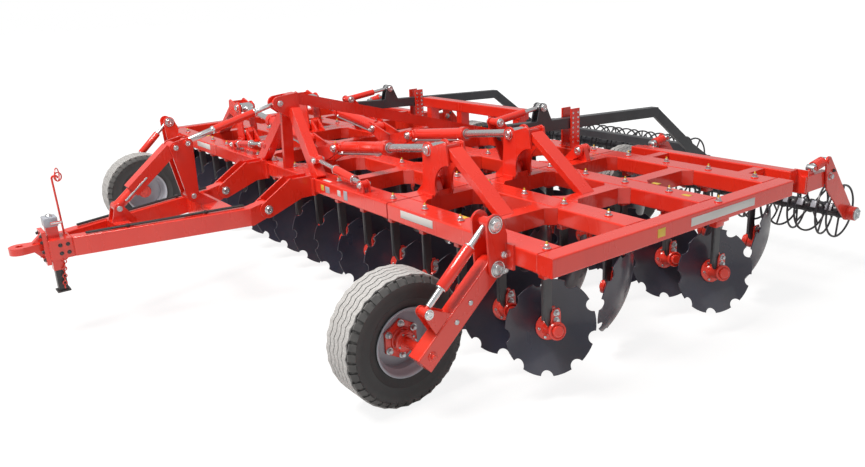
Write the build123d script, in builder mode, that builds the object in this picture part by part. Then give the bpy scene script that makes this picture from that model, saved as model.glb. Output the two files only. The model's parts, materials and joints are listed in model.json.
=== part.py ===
"""Trailed four-row folding disc harrow: centre frame, two folding wings, drawbar, wheels and rollers."""
from build123d import *
from math import asin, cos, degrees, hypot, pi, radians, sin
import os

os.makedirs("parts", exist_ok=True)

# Millimetres. X points to the machine's left, -Y forwards to the hitch, Z up from the ground.
hitch_reach = 2131          # front beam face to the hitch ring's tip
rear_reach = 4395           # front beam face to the back of the rear roller
front_y = (hitch_reach - rear_reach) / 2

# Frame
frame_top = 920
beam_height = 113
row_count = 4
row_pitch = 712
row_width = 190
long_width = 120
centre_half = 1553
wing_gap = 13
wing_reach = 3140
gusset = 60
beam_corner = 10
beam_mid = frame_top - beam_height / 2
beam_foot = frame_top - beam_height
row_y = [row_width / 2 + row_pitch * row for row in range(row_count)]
frame_depth = row_y[-1] + row_width / 2
wing_inner = centre_half + wing_gap
centre_long_x = [(centre_half - long_width / 2) * share for share in (-1, -0.5, 0, 0.5, 1)]
wing_long_x = [wing_inner + long_width / 2, (wing_inner + wing_reach) / 2, wing_reach - long_width / 2]

# Stands and discs
stand_pitch = 375
row_first = [3000, 2812.5, 3093.75, 2906.25]    # outermost stand of each row on the left
row_stands = [17, 16, 17, 17]
row_facing = [1, -1, 1, -1]                     # side that the hollow faces: 1 is left
wing_split = centre_half + 30
shank_thick = 25
shank_depth = 60
shank_straight = 190
shank_bend = 700
foot_plate = (90, 130, 16)
hub_z = 430
disc_radius = 280
disc_dish = 58
disc_thick = 6
disc_yaw = 21
disc_tilt = 11
notch_count = 9
notch_radius = 40
disc_seat = 0.2
hub_back_set = 50
shank_bow = 6
clamp_height = 130
clamp_thick = 12
hub_radius = 46
hub_front = 62
hub_back = 78
flange_radius = 78
flange_thick = 14

# Folding
hinge_x = 1600
hinge_z = 1000
hinge_pin = 20
hinge_lug = 45
knuckle_half = 60
lug_thick = 20
fold_y = [385, 1130]
fold_base = (290, 1080)
fold_rod_eye = (1640, 1250)
fold_barrel_radius = 50
fold_rod_radius = 30
fold_barrel_end = 760
fold_bore_start = 60
fold_pin = 22
bracket_gap = 104
bracket_plate = 15
mast_gap = 130
mast_plate = 15
mast_edge = [(1572, 920), (1560, 945), (1572, 1100), (1584, 1250)]
mast_crown = [(1819, 1321), (1850, 1308), (1872, 1180)]
mast_foot = 1690
mast_scoop = (1868, 1010, 160)
mast_pad = (1574, 30, 22)
brace_start = (1838, 1265)
brace_end = (2350, 925)
brace_width = 116
brace_depth = 46
bracket_foot = (4, 58)
bracket_neck = 1056
bracket_eye = 48
bracket_pad = 20

# Drawbar
neck_x = 430
neck_pin = (-400, 745)
neck_gap = 112
neck_plate = 15
neck_radius = 66
neck_foot = 790
neck_pin_radius = 20
tube_width = 100
tube_height = 140
head_x = 62
head_y = -1850
head_z = 671
kink = (-520, 709)
ring_y = -2060
ring_z = 695
ring_radius = 71
ring_bore = 25
ring_thick = 50
plate_y = -1905
plate_thick = 30
plate_bottom = 563
plate_top = 804
rocker_foot = (-823, 861)
rocker_link_pin = (-810, 1270)
rocker_lift_pin = (-906, 1250)
tower_pin = (-12, 1473)
tower_bore = 18
apex_width = 110
link_gap = 72
link_clear = 75
leg_foot = 530
leg_y = 48
leg_width = 80
leg_depth = 90
mid_leg_x = -20
boom_y = 165
boom_front = 1492
boom_rear = 905
boom_width = 100
boom_depth = 90
lift_foot = (-1375, 867)
lift_barrel_radius = 40
lift_rod_radius = 22
jack_y = -1840
jack_foot = 333
jack_top = 889
jack_side = 62
jack_fit = 0.6
link_radius = 30
pin_radius = 20
head_back = -1735
head_half = 118
head_bottom = 601
head_top = 742
plate_half = 85
cross_y = (-760, -600)
lug_cross_y = (-1440, -1330)
cross_bottom = 620
cross_top = 770
rocker_boss = 90
rocker_gap = 124
lift_gap = 92
lift_split = 0.55
channel_width = 110
hook_y = -1762
hook_top = 1192
hook_wire = 7
jack_sleeve_foot = 500

# Wheels and rollers
tyre_radius = 400
tyre_width = 270
rim_radius = 198
wheel_x = 2420
wheel_y = -535
carrier_low_pin = (-79, 794)
carrier_top_pin = (-90, 1052)
carrier_mid = 2720
carrier_gap = 112
carrier_plate = 15
arm_width = 100
arm_depth = 125
arm_lug = (-539, 644)
transport_x = 1150
transport_y = 3000
roller_radius = 215
roller_bar = 18
roller_core = 52
roller_pitch = 115
wing_roller = (3285, 480)
wing_roller_inner = 1610
wing_roller_outer = 3060
end_plate_x = 3080
end_plate_thick = 12
end_plate_pin = (2905, 950)
end_plate_heel = (2950, 762, 40)
end_plate_pivot = (2937, 833)
end_arm_z = (755, 875)
end_arm_width = 50
spring_foot = (2738, 922)
spring_radius = 34
roller_beam_end = 2990
rear_roller = (4180, 480)
rear_roller_half = 1100
axle_radius = 25
running_fit = 0.08
side_gap = 6
rim_wall = 12
hub_reach = 110
stub_radius = 30
roller_beam_y = (2550, 2650)
roller_beam_foot = 820
roller_arm_x = [1900, 2750]
transport_offset = 260

# Rear levers
lever_x = 1165
lever_front = (1400, 1172)
lever_pivot = (2030, 1150)
lever_rear = (3350, 1085)
lever_depth = 90
lever_width = 80
lever_arm_end = (3940, 640)
lever_pin = 20
lever_gap = 92
lever_barrel_radius = 30
lever_barrel_pin = (1330, 1256)
lever_rod_pin = (1830, 1315)
lever_hinge = (1420, 1130)
lever_plate = 15
stop_y = (2145, 2245)
stop_top = 1264
gantry_x = (-1000, 550)
gantry_y = (2170, 2280)
gantry_z = (1090, 1190)
gantry_posts = [-900, -380, 120, 480]
screw_near = (505, 55, 1060)
screw_far = (1180, 55, 975)
screw_lug = 28


def at(x, y, z):
    return Vector(x, front_y + y, z)


def side_plane(x):
    return Plane(origin=(x, front_y, 0), x_dir=(0, 1, 0), z_dir=(1, 0, 0))


def row_plane(y):
    return Plane(origin=(0, front_y + y, 0), x_dir=(1, 0, 0), z_dir=(0, -1, 0))


def top_plane(z):
    return Plane(origin=(0, front_y, z))


def block(x_range, y_range, z_range, corner=0.0):
    """A box between limits, with its long X or Y edges rounded."""
    wide = x_range[1] - x_range[0]
    deep = y_range[1] - y_range[0]
    high = z_range[1] - z_range[0]
    with BuildPart() as piece:
        with BuildSketch(top_plane(z_range[0])):
            with Locations(((x_range[0] + x_range[1]) / 2, (y_range[0] + y_range[1]) / 2)):
                Rectangle(wide, deep)
        extrude(amount=high)
        if corner:
            along = Axis.X if wide > deep else Axis.Y
            fillet(piece.edges().filter_by(along), corner)
    return piece.part


def side_plate(outline, x, thick, holes=()):
    """A plate with a straight-sided outline of (y, z) points, centred on x."""
    with BuildPart() as piece:
        with BuildSketch(side_plane(x - thick / 2)):
            with BuildLine():
                Polyline(*outline, close=True)
            make_face()
            for y, z, radius in holes:
                with Locations((y, z)):
                    Circle(radius, mode=Mode.SUBTRACT)
        extrude(amount=thick)
    return piece.part


def side_link(ends, x, thick, holes=()):
    """A plate whose outline wraps round circles (y, z, radius), centred on x."""
    with BuildPart() as piece:
        with BuildSketch(side_plane(x - thick / 2)):
            for y, z, radius in ends:
                with Locations((y, z)):
                    Circle(radius)
            make_hull()
            for y, z, radius in holes:
                with Locations((y, z)):
                    Circle(radius, mode=Mode.SUBTRACT)
        extrude(amount=thick)
    return piece.part


def row_link(ends, y, thick, holes=()):
    """A plate whose outline wraps round circles (x, z, radius), centred on y."""
    with BuildPart() as piece:
        with BuildSketch(row_plane(y + thick / 2)):
            for x, z, radius in ends:
                with Locations((x, z)):
                    Circle(radius)
            make_hull()
            for x, z, radius in holes:
                with Locations((x, z)):
                    Circle(radius, mode=Mode.SUBTRACT)
        extrude(amount=thick)
    return piece.part


def rod(start, end, radius, bore=0.0):
    """A round bar, or a tube with a bore, between two points."""
    line = end - start
    with BuildPart() as piece:
        with BuildSketch(Plane(origin=start, z_dir=line)):
            Circle(radius)
            if bore:
                Circle(bore, mode=Mode.SUBTRACT)
        extrude(amount=line.length)
    return piece.part


def bar(start, end, side, width, depth, corner=0.0):
    """A rectangular bar between two points; its width runs along side."""
    line = end - start
    with BuildPart() as piece:
        with BuildSketch(Plane(origin=start, x_dir=side, z_dir=line)):
            if corner:
                RectangleRounded(width, depth, corner)
            else:
                Rectangle(width, depth)
        extrude(amount=line.length)
    return piece.part


def pin_x(x_range, y, z, radius):
    return rod(at(x_range[0], y, z), at(x_range[1], y, z), radius)


def pin_y(y_range, x, z, radius):
    return rod(at(x, y_range[0], z), at(x, y_range[1], z), radius)


def finish(piece, name):
    piece.part.label = name
    export_step(piece.part, f"parts/{name}.step")


def between(start, end, share):
    return start + (end - start) * share


sides = {"left": 1, "right": -1}


# Frame beams
def long_segment(x, y_range, left_flare, right_flare):
    """A lengthwise beam between two cross beams, with its ends flared into gussets."""
    half = long_width / 2
    left = x + half
    right = x - half
    front, back = y_range
    outline = [(right - gusset * right_flare, front), (left + gusset * left_flare, front)]
    if left_flare:
        outline += [(left, front + gusset), (left, back - gusset)]
    outline += [(left + gusset * left_flare, back), (right - gusset * right_flare, back)]
    if right_flare:
        outline += [(right, back - gusset), (right, front + gusset)]
    with BuildPart() as piece:
        with BuildSketch(top_plane(beam_foot)):
            with BuildLine():
                Polyline(*outline, close=True)
            make_face()
        extrude(amount=beam_height)
    return piece.part


with BuildPart() as centre_cross_beams:
    for y in row_y:
        add(block((-centre_half, centre_half), (y - row_width / 2, y + row_width / 2),
                  (beam_foot, frame_top), beam_corner))
finish(centre_cross_beams, "centre_cross_beams")

cell_y = [(row_y[row] + row_width / 2, row_y[row + 1] - row_width / 2) for row in range(row_count - 1)]
knuckle_y = [*fold_y, sum(cell_y[-1]) / 2]


def centre_knuckle(y, side):
    """Two lugs on the centre section's outer beam, with the hinge pin through them."""
    pieces = [pin_y((y - knuckle_half, y + knuckle_half), side * hinge_x, hinge_z, hinge_pin)]
    for offset in (-1, 1):
        lug = row_link([(side * hinge_x, hinge_z, hinge_lug),
                        (side * (centre_half - 25), frame_top + 10, 20),
                        (side * (centre_half - 95), frame_top + 2, 8)],
                       y + offset * (knuckle_half - lug_thick), lug_thick)
        pieces.append(lug)
        pieces.append(block(sorted((side * (centre_half - 103), side * (centre_half - 5))),
                            (y + offset * (knuckle_half - lug_thick) - lug_thick / 2,
                             y + offset * (knuckle_half - lug_thick) + lug_thick / 2),
                            (frame_top - 4, frame_top + 10)))
    return pieces


def wing_knuckle(y, side):
    """One lug on the wing's inner beam, bored for the hinge pin."""
    half = knuckle_half - 1.5 * lug_thick - side_gap
    lug = row_link([(side * hinge_x, hinge_z, hinge_lug), (side * (wing_inner + 8), frame_top + 2, 8),
                    (side * (wing_inner + long_width - 20), frame_top + 2, 8)], y, 2 * half,
                   [(side * hinge_x, hinge_z, hinge_pin + running_fit)])
    seat = block(sorted((side * wing_inner, side * (wing_inner + long_width - 12))),
                 (y - half, y + half), (frame_top - 4, frame_top + 10))
    return [lug, seat]


with BuildPart() as centre_long_beams:
    for x in centre_long_x:
        for cell in cell_y:
            add(long_segment(x, cell, x < centre_long_x[-1], x > centre_long_x[0]))
    for y in knuckle_y:
        for side in (1, -1):
            add(centre_knuckle(y, side))
finish(centre_long_beams, "centre_long_beams")


# Stands: a bent bar under the beam, with the hub housing clamped to its foot
def disc_axis(facing):
    """The way that a disc's hollow faces."""
    flat = cos(radians(disc_tilt))
    return Vector(facing * cos(radians(disc_yaw)) * flat, -sin(radians(disc_yaw)) * flat,
                  sin(radians(disc_tilt)))


def hub_plane(x, y, facing):
    forward = Vector(-facing * sin(radians(disc_yaw)), -cos(radians(disc_yaw)), 0)
    return Plane(origin=at(x, y + hub_back_set, hub_z), x_dir=forward, z_dir=disc_axis(facing))


def make_stand(facing):
    """One stand, with its bar's top centre on the frame's underside at X 0."""
    drop = beam_foot - hub_z
    with BuildPart() as shank:
        with BuildLine(Plane(origin=at(0, 0, beam_foot), x_dir=(0, 1, 0), z_dir=(1, 0, 0))) as path:
            straight = Line((0, 0), (0, -shank_straight))
            ThreePointArc(straight @ 1, (shank_bow, -(shank_straight + drop) / 2), (hub_back_set, -drop + 30))
        with BuildSketch(Plane(origin=at(0, 0, beam_foot), x_dir=(1, 0, 0), z_dir=(0, 0, -1))):
            Rectangle(shank_thick, shank_depth)
        sweep(transition=Transition.ROUND)
    foot = block((-foot_plate[0] / 2, foot_plate[0] / 2), (-foot_plate[1] / 2, foot_plate[1] / 2),
                 (beam_foot - foot_plate[2], beam_foot))
    plane = hub_plane(0, 0, facing)
    with BuildPart() as hub:
        with BuildSketch(plane.offset(-hub_back)):
            Circle(flange_radius)
        extrude(amount=flange_thick)
        with BuildSketch(plane.offset(-hub_back)):
            Circle(hub_radius)
        extrude(amount=hub_back + hub_front)
        with BuildSketch(plane.offset(hub_front)):
            Circle(hub_radius - 8)
        extrude(amount=12)
    ears = []
    for edge in (-1, 1):
        ears.append(side_plate([(-38 + hub_back_set, hub_z), (38 + hub_back_set, hub_z),
                                (34 + hub_back_set, hub_z + clamp_height),
                                (-34 + hub_back_set, hub_z + clamp_height)],
                               edge * (shank_thick / 2 + clamp_thick / 2), clamp_thick))
    with BuildPart() as stand:
        add(shank.part)
        add(foot)
        add(hub.part)
        add(ears)
    return stand.part


def make_disc():
    """A notched, dished disc on the Z axis, hollow upwards, with its back at the origin."""
    ball = disc_ball
    half_angle = asin(disc_radius / ball)
    outer = ball + disc_thick
    with BuildPart() as disc:
        with BuildSketch(Plane.XZ):
            with BuildLine():
                inner = CenterArc((0, ball), ball, -90, degrees(half_angle))
                back = CenterArc((0, ball), outer, -90, degrees(half_angle))
                Line(inner @ 0, back @ 0)
                Line(inner @ 1, back @ 1)
            make_face()
        revolve(axis=Axis.Z)
        with Locations(Plane.XY.offset(disc_dish)):
            with PolarLocations(disc_radius + 4, notch_count):
                Sphere(notch_radius, mode=Mode.SUBTRACT)
    return disc.part


def stand_places(row):
    """X of each stand in a row, from the left."""
    return [row_first[row] - stand_pitch * index for index in range(row_stands[row])]


disc_ball = (disc_radius**2 + disc_dish**2) / (2 * disc_dish)
disc_sag = disc_ball - (disc_ball**2 - flange_radius**2) ** 0.5
stand_kinds = {1: make_stand(1), -1: make_stand(-1)}
disc_kind = make_disc()


def stand_pieces(where):
    """Every stand whose X passes the where test."""
    pieces = []
    for row in range(row_count):
        for x in stand_places(row):
            if where(x):
                pieces.append(stand_kinds[row_facing[row]].moved(Location((x, row_y[row], 0))))
    return pieces


def disc_pieces(where):
    pieces = []
    for row in range(row_count):
        for x in stand_places(row):
            if where(x):
                back = hub_plane(x, row_y[row], row_facing[row]).offset(-hub_back - disc_sag - disc_seat)
                pieces.append(disc_kind.moved(back.location))
    return pieces


groups = {"centre": lambda x: abs(x) < wing_split, "left": lambda x: x > wing_split,
          "right": lambda x: x < -wing_split}
for group, test in groups.items():
    with BuildPart() as stands:
        add(stand_pieces(test))
    finish(stands, f"{group}_stands")
    with BuildPart() as discs:
        add(disc_pieces(test))
    finish(discs, f"{group}_discs")


# Tower over the centre of the front beam, and the boom behind it
with BuildPart() as tower:
    add(side_link([(*tower_pin, 56), (boom_y - 12, tower_pin[1] + 58, 12), (boom_y - 12, 1400, 12),
                   (60, 1360, 10)], 0, apex_width))
    with BuildSketch(side_plane(-link_gap / 2)):
        with Locations(tower_pin):
            Rectangle(2 * link_clear, 2 * link_clear)
    extrude(amount=link_gap, mode=Mode.SUBTRACT)
    add(pin_x((-apex_width / 2 - 12, apex_width / 2 + 12), *tower_pin, tower_bore))
    for side in (1, -1):
        add(bar(at(side * 70, 105, 1400), at(side * leg_foot, leg_y, frame_top - 8), (0, 1, 0),
                leg_width, leg_depth))
    add(bar(at(0, 60, 1400), at(mid_leg_x, leg_y, frame_top - 8), (1, 0, 0), 34, 90))
    with BuildSketch(top_plane(frame_top)):
        with Locations((0, row_width / 2)):
            Rectangle(4 * leg_foot, 2 * row_width)
    extrude(amount=-60, mode=Mode.SUBTRACT)
finish(tower, "tower")

with BuildPart() as top_boom:
    add(bar(at(0, boom_y - 60, boom_front + 17), at(0, row_y[-1] + 10, boom_rear), (1, 0, 0), boom_width,
            boom_depth))
    with BuildSketch(side_plane(-boom_width)):
        with Locations((boom_y - 300, boom_front)):
            Rectangle(600, 600)
    extrude(amount=2 * boom_width, mode=Mode.SUBTRACT)
    with BuildSketch(side_plane(-boom_width)):
        with Locations((row_y[-1] - 400, frame_top - 100)):
            Rectangle(1400, 200)
    extrude(amount=2 * boom_width, mode=Mode.SUBTRACT)
finish(top_boom, "top_boom")


# Goosenecks that carry the drawbar
def make_neck(x):
    pieces = []
    outline = [(0, frame_top - 16), (-175, frame_top + 30), (-215, frame_top + 22)]
    for edge in (-1, 1):
        plate_x = x + edge * (neck_gap + neck_plate) / 2
        with BuildPart() as plate:
            with BuildSketch(side_plane(plate_x - neck_plate / 2)):
                with Locations(neck_pin):
                    Circle(neck_radius)
                with Locations((-190, frame_top + 8)):
                    Circle(24)
                with Locations((-120, 800)):
                    Circle(20)
                make_hull()
                with Locations((-85, (frame_top + 16 + neck_foot) / 2)):
                    Rectangle(170, frame_top + 32 - neck_foot)
            extrude(amount=neck_plate)
        pieces.append(plate.part)
    pieces.append(block((x - neck_gap / 2 - 1, x + neck_gap / 2 + 1), (-170, -20), (neck_foot + 30, frame_top)))
    pieces.append(block((x - neck_gap / 2 - 45, x + neck_gap / 2 + 45), (-20, 0), (beam_foot - 20, frame_top)))
    pieces.append(pin_x((x - neck_gap / 2 - neck_plate - 18, x + neck_gap / 2 + neck_plate + 18),
                        *neck_pin, neck_pin_radius))
    return pieces


for name, side in sides.items():
    with BuildPart() as gooseneck:
        add(make_neck(side * neck_x))
    finish(gooseneck, f"gooseneck_{name}")


# Fold cylinders, one on each of the first two rows, their brackets and their masts
fold_x, fold_z = fold_base
eye_x, eye_z = fold_rod_eye
fold_length = hypot(eye_x - fold_x, eye_z - fold_z)
fold_way = Vector(eye_x - fold_x, 0, eye_z - fold_z).normalized()


def along_fold(side, y, distance):
    return at(side * (fold_x + fold_way.X * distance), y, fold_z + fold_way.Z * distance)


def fold_bracket(side, y):
    pieces = []
    for edge in (-1, 1):
        plate_y = y + edge * (bracket_gap + bracket_plate) / 2
        with BuildPart() as plate:
            with BuildSketch(row_plane(plate_y + bracket_plate / 2)):
                with BuildLine():
                    Polyline(*[(side * x, z) for x, z in (
                        (bracket_foot[0], frame_top), (bracket_foot[0], bracket_neck),
                        (fold_x - 12, fold_z + bracket_eye - 1.5), (fold_x + 12, fold_z - bracket_eye + 1.5),
                        (bracket_foot[1], frame_top))], close=True)
                make_face()
                with Locations((side * fold_x, fold_z)):
                    Circle(bracket_eye)
            extrude(amount=bracket_plate)
        pieces.append(plate.part)
    reach = bracket_gap / 2 + bracket_plate
    pieces.append(block(sorted((side * bracket_foot[0], side * (bracket_foot[1] + 1))),
                        (y - reach - 8, y + reach + 8), (frame_top, frame_top + bracket_pad)))
    pieces.append(pin_y((y - reach - 14, y + reach + 14), side * fold_x, fold_z, fold_pin))
    return pieces


def fold_barrel(side, y):
    half = bracket_gap / 2 - side_gap
    with BuildPart() as barrel:
        add(row_link([(side * fold_x, fold_z, 44), (side * (fold_x + fold_way.X * 70),
                      fold_z + fold_way.Z * 70, 44)], y, 2 * half))
        add(rod(along_fold(side, y, 44), along_fold(side, y, fold_barrel_end), fold_barrel_radius))
        with BuildSketch(Plane(origin=along_fold(side, y, fold_barrel_end),
                               z_dir=Vector(-side * fold_way.X, 0, -fold_way.Z))):
            Circle(fold_rod_radius + 0.5)
        extrude(amount=fold_barrel_end - fold_bore_start, mode=Mode.SUBTRACT)
        with BuildSketch(row_plane(y + half)):
            with Locations((side * fold_x, fold_z)):
                Circle(fold_pin + running_fit)
        extrude(amount=2 * half, mode=Mode.SUBTRACT)
    return barrel.part


def fold_rod(side, y):
    half = mast_gap / 2 - side_gap
    eye = row_link([(side * eye_x, eye_z, 42), (side * (eye_x - fold_way.X * 44),
                    eye_z - fold_way.Z * 44, 38)], y, 2 * half)
    return [eye, rod(along_fold(side, y, fold_barrel_end - 20), along_fold(side, y, fold_length - 40),
                     fold_rod_radius)]


def mast(side, y):
    """Two plates with a curved cut-out on a pad, the pin's heads and the raking brace."""
    pieces = []
    scoop_x, scoop_z, scoop_radius = mast_scoop
    for edge in (-1, 1):
        with BuildPart() as plate:
            with BuildSketch(row_plane(y + edge * (mast_gap + mast_plate) / 2 + mast_plate / 2)):
                with BuildLine():
                    Polyline(*[(side * x, z) for x, z in mast_edge + mast_crown],
                             (side * mast_foot, frame_top), close=True)
                make_face()
                with Locations((side * eye_x, eye_z)):
                    Circle(eye_x - mast_edge[-1][0])
                with Locations((side * scoop_x, scoop_z)):
                    Circle(scoop_radius, mode=Mode.SUBTRACT)
            extrude(amount=mast_plate)
        pieces.append(plate.part)
        outer = edge * (mast_gap / 2 + mast_plate)
        head = sorted((y + outer - edge * 1, y + outer + edge * 14))
        pieces.append(pin_y(head, side * eye_x, eye_z, fold_pin + 12))
    pad_inner, pad_deep, pad_thick = mast_pad
    web = (y - mast_gap / 2 - 1, y + mast_gap / 2 + 1)
    for edge in (-1, 1):
        near = y + edge * (mast_gap / 2 - 3)
        pieces.append(block(sorted((side * pad_inner, side * mast_foot)), sorted((near, near + edge * pad_deep)),
                            (frame_top, frame_top + pad_thick)))
    pieces.append(block(sorted((side * (mast_foot - 14), side * mast_foot)), web,
                        (frame_top, frame_top + 2 * pad_thick)))
    crown_x = mast_crown[0][0]
    pieces.append(block(sorted((side * crown_x, side * (crown_x + mast_plate))), web,
                        (mast_crown[2][1], mast_crown[1][1] - 6)))
    start = at(side * brace_start[0], y, brace_start[1])
    end = at(side * brace_end[0], y, brace_end[1] - 30)
    pieces.append(bar(start, end, (0, 1, 0), brace_width, brace_depth))
    return pieces


def above_frame(pieces):
    """Joins pieces and trims what reaches below the beams' top face."""
    with BuildPart() as whole:
        add(pieces)
        with BuildSketch(Plane.XY.offset(frame_top)):
            Rectangle(4 * wing_reach, 4 * rear_reach)
        extrude(amount=-400, mode=Mode.SUBTRACT)
    return whole.part


for name, side in sides.items():
    with BuildPart() as fold_brackets:
        for y in fold_y:
            add(fold_bracket(side, y))
    finish(fold_brackets, f"fold_brackets_{name}")
    with BuildPart() as fold_barrels:
        for y in fold_y:
            add(fold_barrel(side, y))
    finish(fold_barrels, f"fold_barrels_{name}")
    with BuildPart() as fold_rods:
        for y in fold_y:
            add(fold_rod(side, y))
    finish(fold_rods, f"fold_rods_{name}")
    with BuildPart() as masts:
        for y in fold_y:
            add(above_frame(mast(side, y)))
    finish(masts, f"{name}_masts")
    with BuildPart() as cross_beams:
        for y in row_y:
            add(block(sorted((side * wing_inner, side * (wing_reach - long_width))),
                      (y - row_width / 2, y + row_width / 2), (beam_foot, frame_top), beam_corner))
    finish(cross_beams, f"{name}_cross_beams")
    with BuildPart() as long_beams:
        for index, x in enumerate(wing_long_x[:2]):
            for cell in cell_y:
                flares = (True, index > 0) if side > 0 else (index > 0, True)
                add(long_segment(side * x, cell, *flares))
        add(block(sorted((side * (wing_reach - long_width), side * wing_reach)), (0, frame_depth),
                  (beam_foot, frame_top), beam_corner))
        for y in knuckle_y:
            add(wing_knuckle(y, side))
    finish(long_beams, f"{name}_long_beams")


# Drawbar: two box tubes that meet at the hitch head
def tube_axis(y):
    """Half spacing of the drawbar tubes at y."""
    return head_x + (neck_x - head_x) * (y - head_y) / (kink[0] - head_y)


tube_slant = hypot(neck_x - head_x, kink[0] - head_y) / (kink[0] - head_y)


def tube_inside(y):
    return tube_axis(y) - tube_width / 2 * tube_slant - 0.2


for name, side in sides.items():
    head = at(side * tube_axis(head_y - 60), head_y - 60, head_z)
    with BuildPart() as drawbar_tube:
        add(bar(head, at(side * neck_x, kink[0], kink[1]), (0, 0, 1), tube_height, tube_width, 8))
        add(side_link([(*neck_pin, neck_radius - 6), (kink[0] - 10, kink[1] + tube_height / 2 - 12, 12),
                       (kink[0] - 10, kink[1] - tube_height / 2 + 12, 12)], side * neck_x, tube_width))
        add(pin_x((side * neck_x - 60, side * neck_x + 60), *neck_pin, neck_pin_radius + running_fit),
            mode=Mode.SUBTRACT)
        add(block((-400, 400), (head_y - 200, head_back), (0, 1500)), mode=Mode.SUBTRACT)
    finish(drawbar_tube, f"drawbar_tube_{name}")

with BuildPart() as drawbar_cross:
    for front, back in (cross_y, lug_cross_y):
        with BuildSketch(top_plane(cross_bottom)):
            with BuildLine():
                Polyline((-tube_inside(front), front), (tube_inside(front), front),
                         (tube_inside(back), back), (-tube_inside(back), back), close=True)
            make_face()
        extrude(amount=cross_top - cross_bottom)
    add(side_link([(*rocker_foot, 42), (cross_y[0] + 20, cross_top - 12, 12),
                   (cross_y[1] - 30, cross_top - 12, 12)], 0, rocker_boss,
                  [(*rocker_foot, pin_radius + running_fit)]))
    for edge in (-1, 1):
        add(side_link([(*lift_foot, 34), (lug_cross_y[0] + 10, cross_top - 10, 10),
                       (lug_cross_y[1] + 60, cross_top - 10, 10)],
                      edge * (lift_gap + neck_plate) / 2, neck_plate))
    add(block((-lift_gap / 2 - neck_plate, lift_gap / 2 + neck_plate),
              (lug_cross_y[0], lug_cross_y[1] + 66), (cross_top - 20, cross_top)))
    reach = lift_gap / 2 + neck_plate + 12
    add(pin_x((-reach, reach), *lift_foot, pin_radius))
finish(drawbar_cross, "drawbar_cross")

with BuildPart() as hitch_head:
    add(block((-head_half, head_half), (plate_y + plate_thick / 2, head_back), (head_bottom, head_top)))
    add(block((-plate_half, plate_half), (plate_y - plate_thick / 2, plate_y + plate_thick / 2),
              (plate_bottom, plate_top)))
    add(side_plate([(plate_y, plate_top - 14), (plate_y, plate_bottom + 12), (plate_y - 75, ring_z - 30),
                    (plate_y - 75, ring_z + 30)], 0, 44))
    with BuildSketch(top_plane(ring_z - ring_thick / 2)):
        with Locations((0, ring_y)):
            Circle(ring_radius)
        with Locations((0, plate_y - 40)):
            Circle(46)
        make_hull()
        with Locations((0, ring_y)):
            Circle(ring_bore, mode=Mode.SUBTRACT)
    extrude(amount=ring_thick)
    with BuildSketch(top_plane(head_bottom - 50)):
        with Locations((0, jack_y)):
            Rectangle(jack_side + 16, jack_side + 16)
    extrude(amount=400, mode=Mode.SUBTRACT)
    with BuildLine(side_plane(0)) as hook_path:
        stem = Line((hook_y, head_top), (hook_y - 10, hook_top - 40))
        TangentArc(stem @ 1, (hook_y + 30, hook_top - 40), tangent=stem % 1)
    with BuildSketch(Plane(origin=at(0, hook_y, head_top), z_dir=(0, -10, hook_top - 40 - head_top))):
        Circle(hook_wire)
    sweep()
    add(block((-25, 25), (hook_y - 15, hook_y + 15), (head_top - 8, head_top + 8)))
    with BuildSketch(top_plane(jack_sleeve_foot)):
        with Locations((0, jack_y)):
            Rectangle(jack_side + 16, jack_side + 16)
            Rectangle(jack_side + 2 * jack_fit, jack_side + 2 * jack_fit, mode=Mode.SUBTRACT)
    extrude(amount=jack_top - 60 - jack_sleeve_foot)
    add(block((-48, 48), (jack_y - 42, jack_y + 42), (jack_top - 60, jack_top)))
    add(pin_x((40, 90), jack_y, jack_top - 30, 10))
    add(block((86, 96), (jack_y - 12, jack_y + 60), (jack_top - 40, jack_top - 20)))
finish(hitch_head, "hitch_head")

with BuildPart() as jack_leg:
    add(block((-jack_side / 2, jack_side / 2), (jack_y - jack_side / 2, jack_y + jack_side / 2),
              (jack_foot + 12, jack_top - 66)))
    add(block((-45, 45), (jack_y - 45, jack_y + 45), (jack_foot, jack_foot + 12)))
finish(jack_leg, "jack_leg")

with BuildPart() as rocker:
    for edge in (-1, 1):
        x = edge * (rocker_gap + neck_plate) / 2
        add(side_link([(*rocker_foot, 46), (*rocker_link_pin, 40), (*rocker_lift_pin, 42)], x, neck_plate))
        face = edge * (rocker_gap / 2 + neck_plate)
        for pin in (rocker_link_pin, rocker_lift_pin):
            add(pin_x(sorted((face - edge, face + edge * 14)), *pin, pin_radius + 10))
    add(side_plate([(rocker_foot[0] - 12, rocker_foot[1] + 90), (rocker_foot[0] + 8, rocker_foot[1] + 90),
                    (rocker_foot[0] + 8, rocker_foot[1] + 250), (rocker_foot[0] - 12, rocker_foot[1] + 250)],
                   0, rocker_gap + 2))
    reach = rocker_gap / 2 + neck_plate + 14
    add(pin_x((-reach, reach), *rocker_foot, pin_radius))
finish(rocker, "rocker")

link_start = at(0, *tower_pin)
link_end = at(0, *rocker_link_pin)
with BuildPart() as top_link:
    eye_half = link_gap / 2 - side_gap
    add(rod(at(-eye_half, *tower_pin), at(eye_half, *tower_pin), link_radius))
    add(rod(link_start, between(link_start, link_end, 0.26), 17))
    add(rod(between(link_start, link_end, 0.24), between(link_start, link_end, 0.70), 29))
    add(rod(between(link_start, link_end, 0.68), link_end, 22))
    add(rod(at(-eye_half, *rocker_link_pin), at(eye_half, *rocker_link_pin), link_radius))
    add(rod(at(-eye_half, *tower_pin), at(eye_half, *tower_pin), tower_bore + running_fit),
        mode=Mode.SUBTRACT)
finish(top_link, "top_link")

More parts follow.
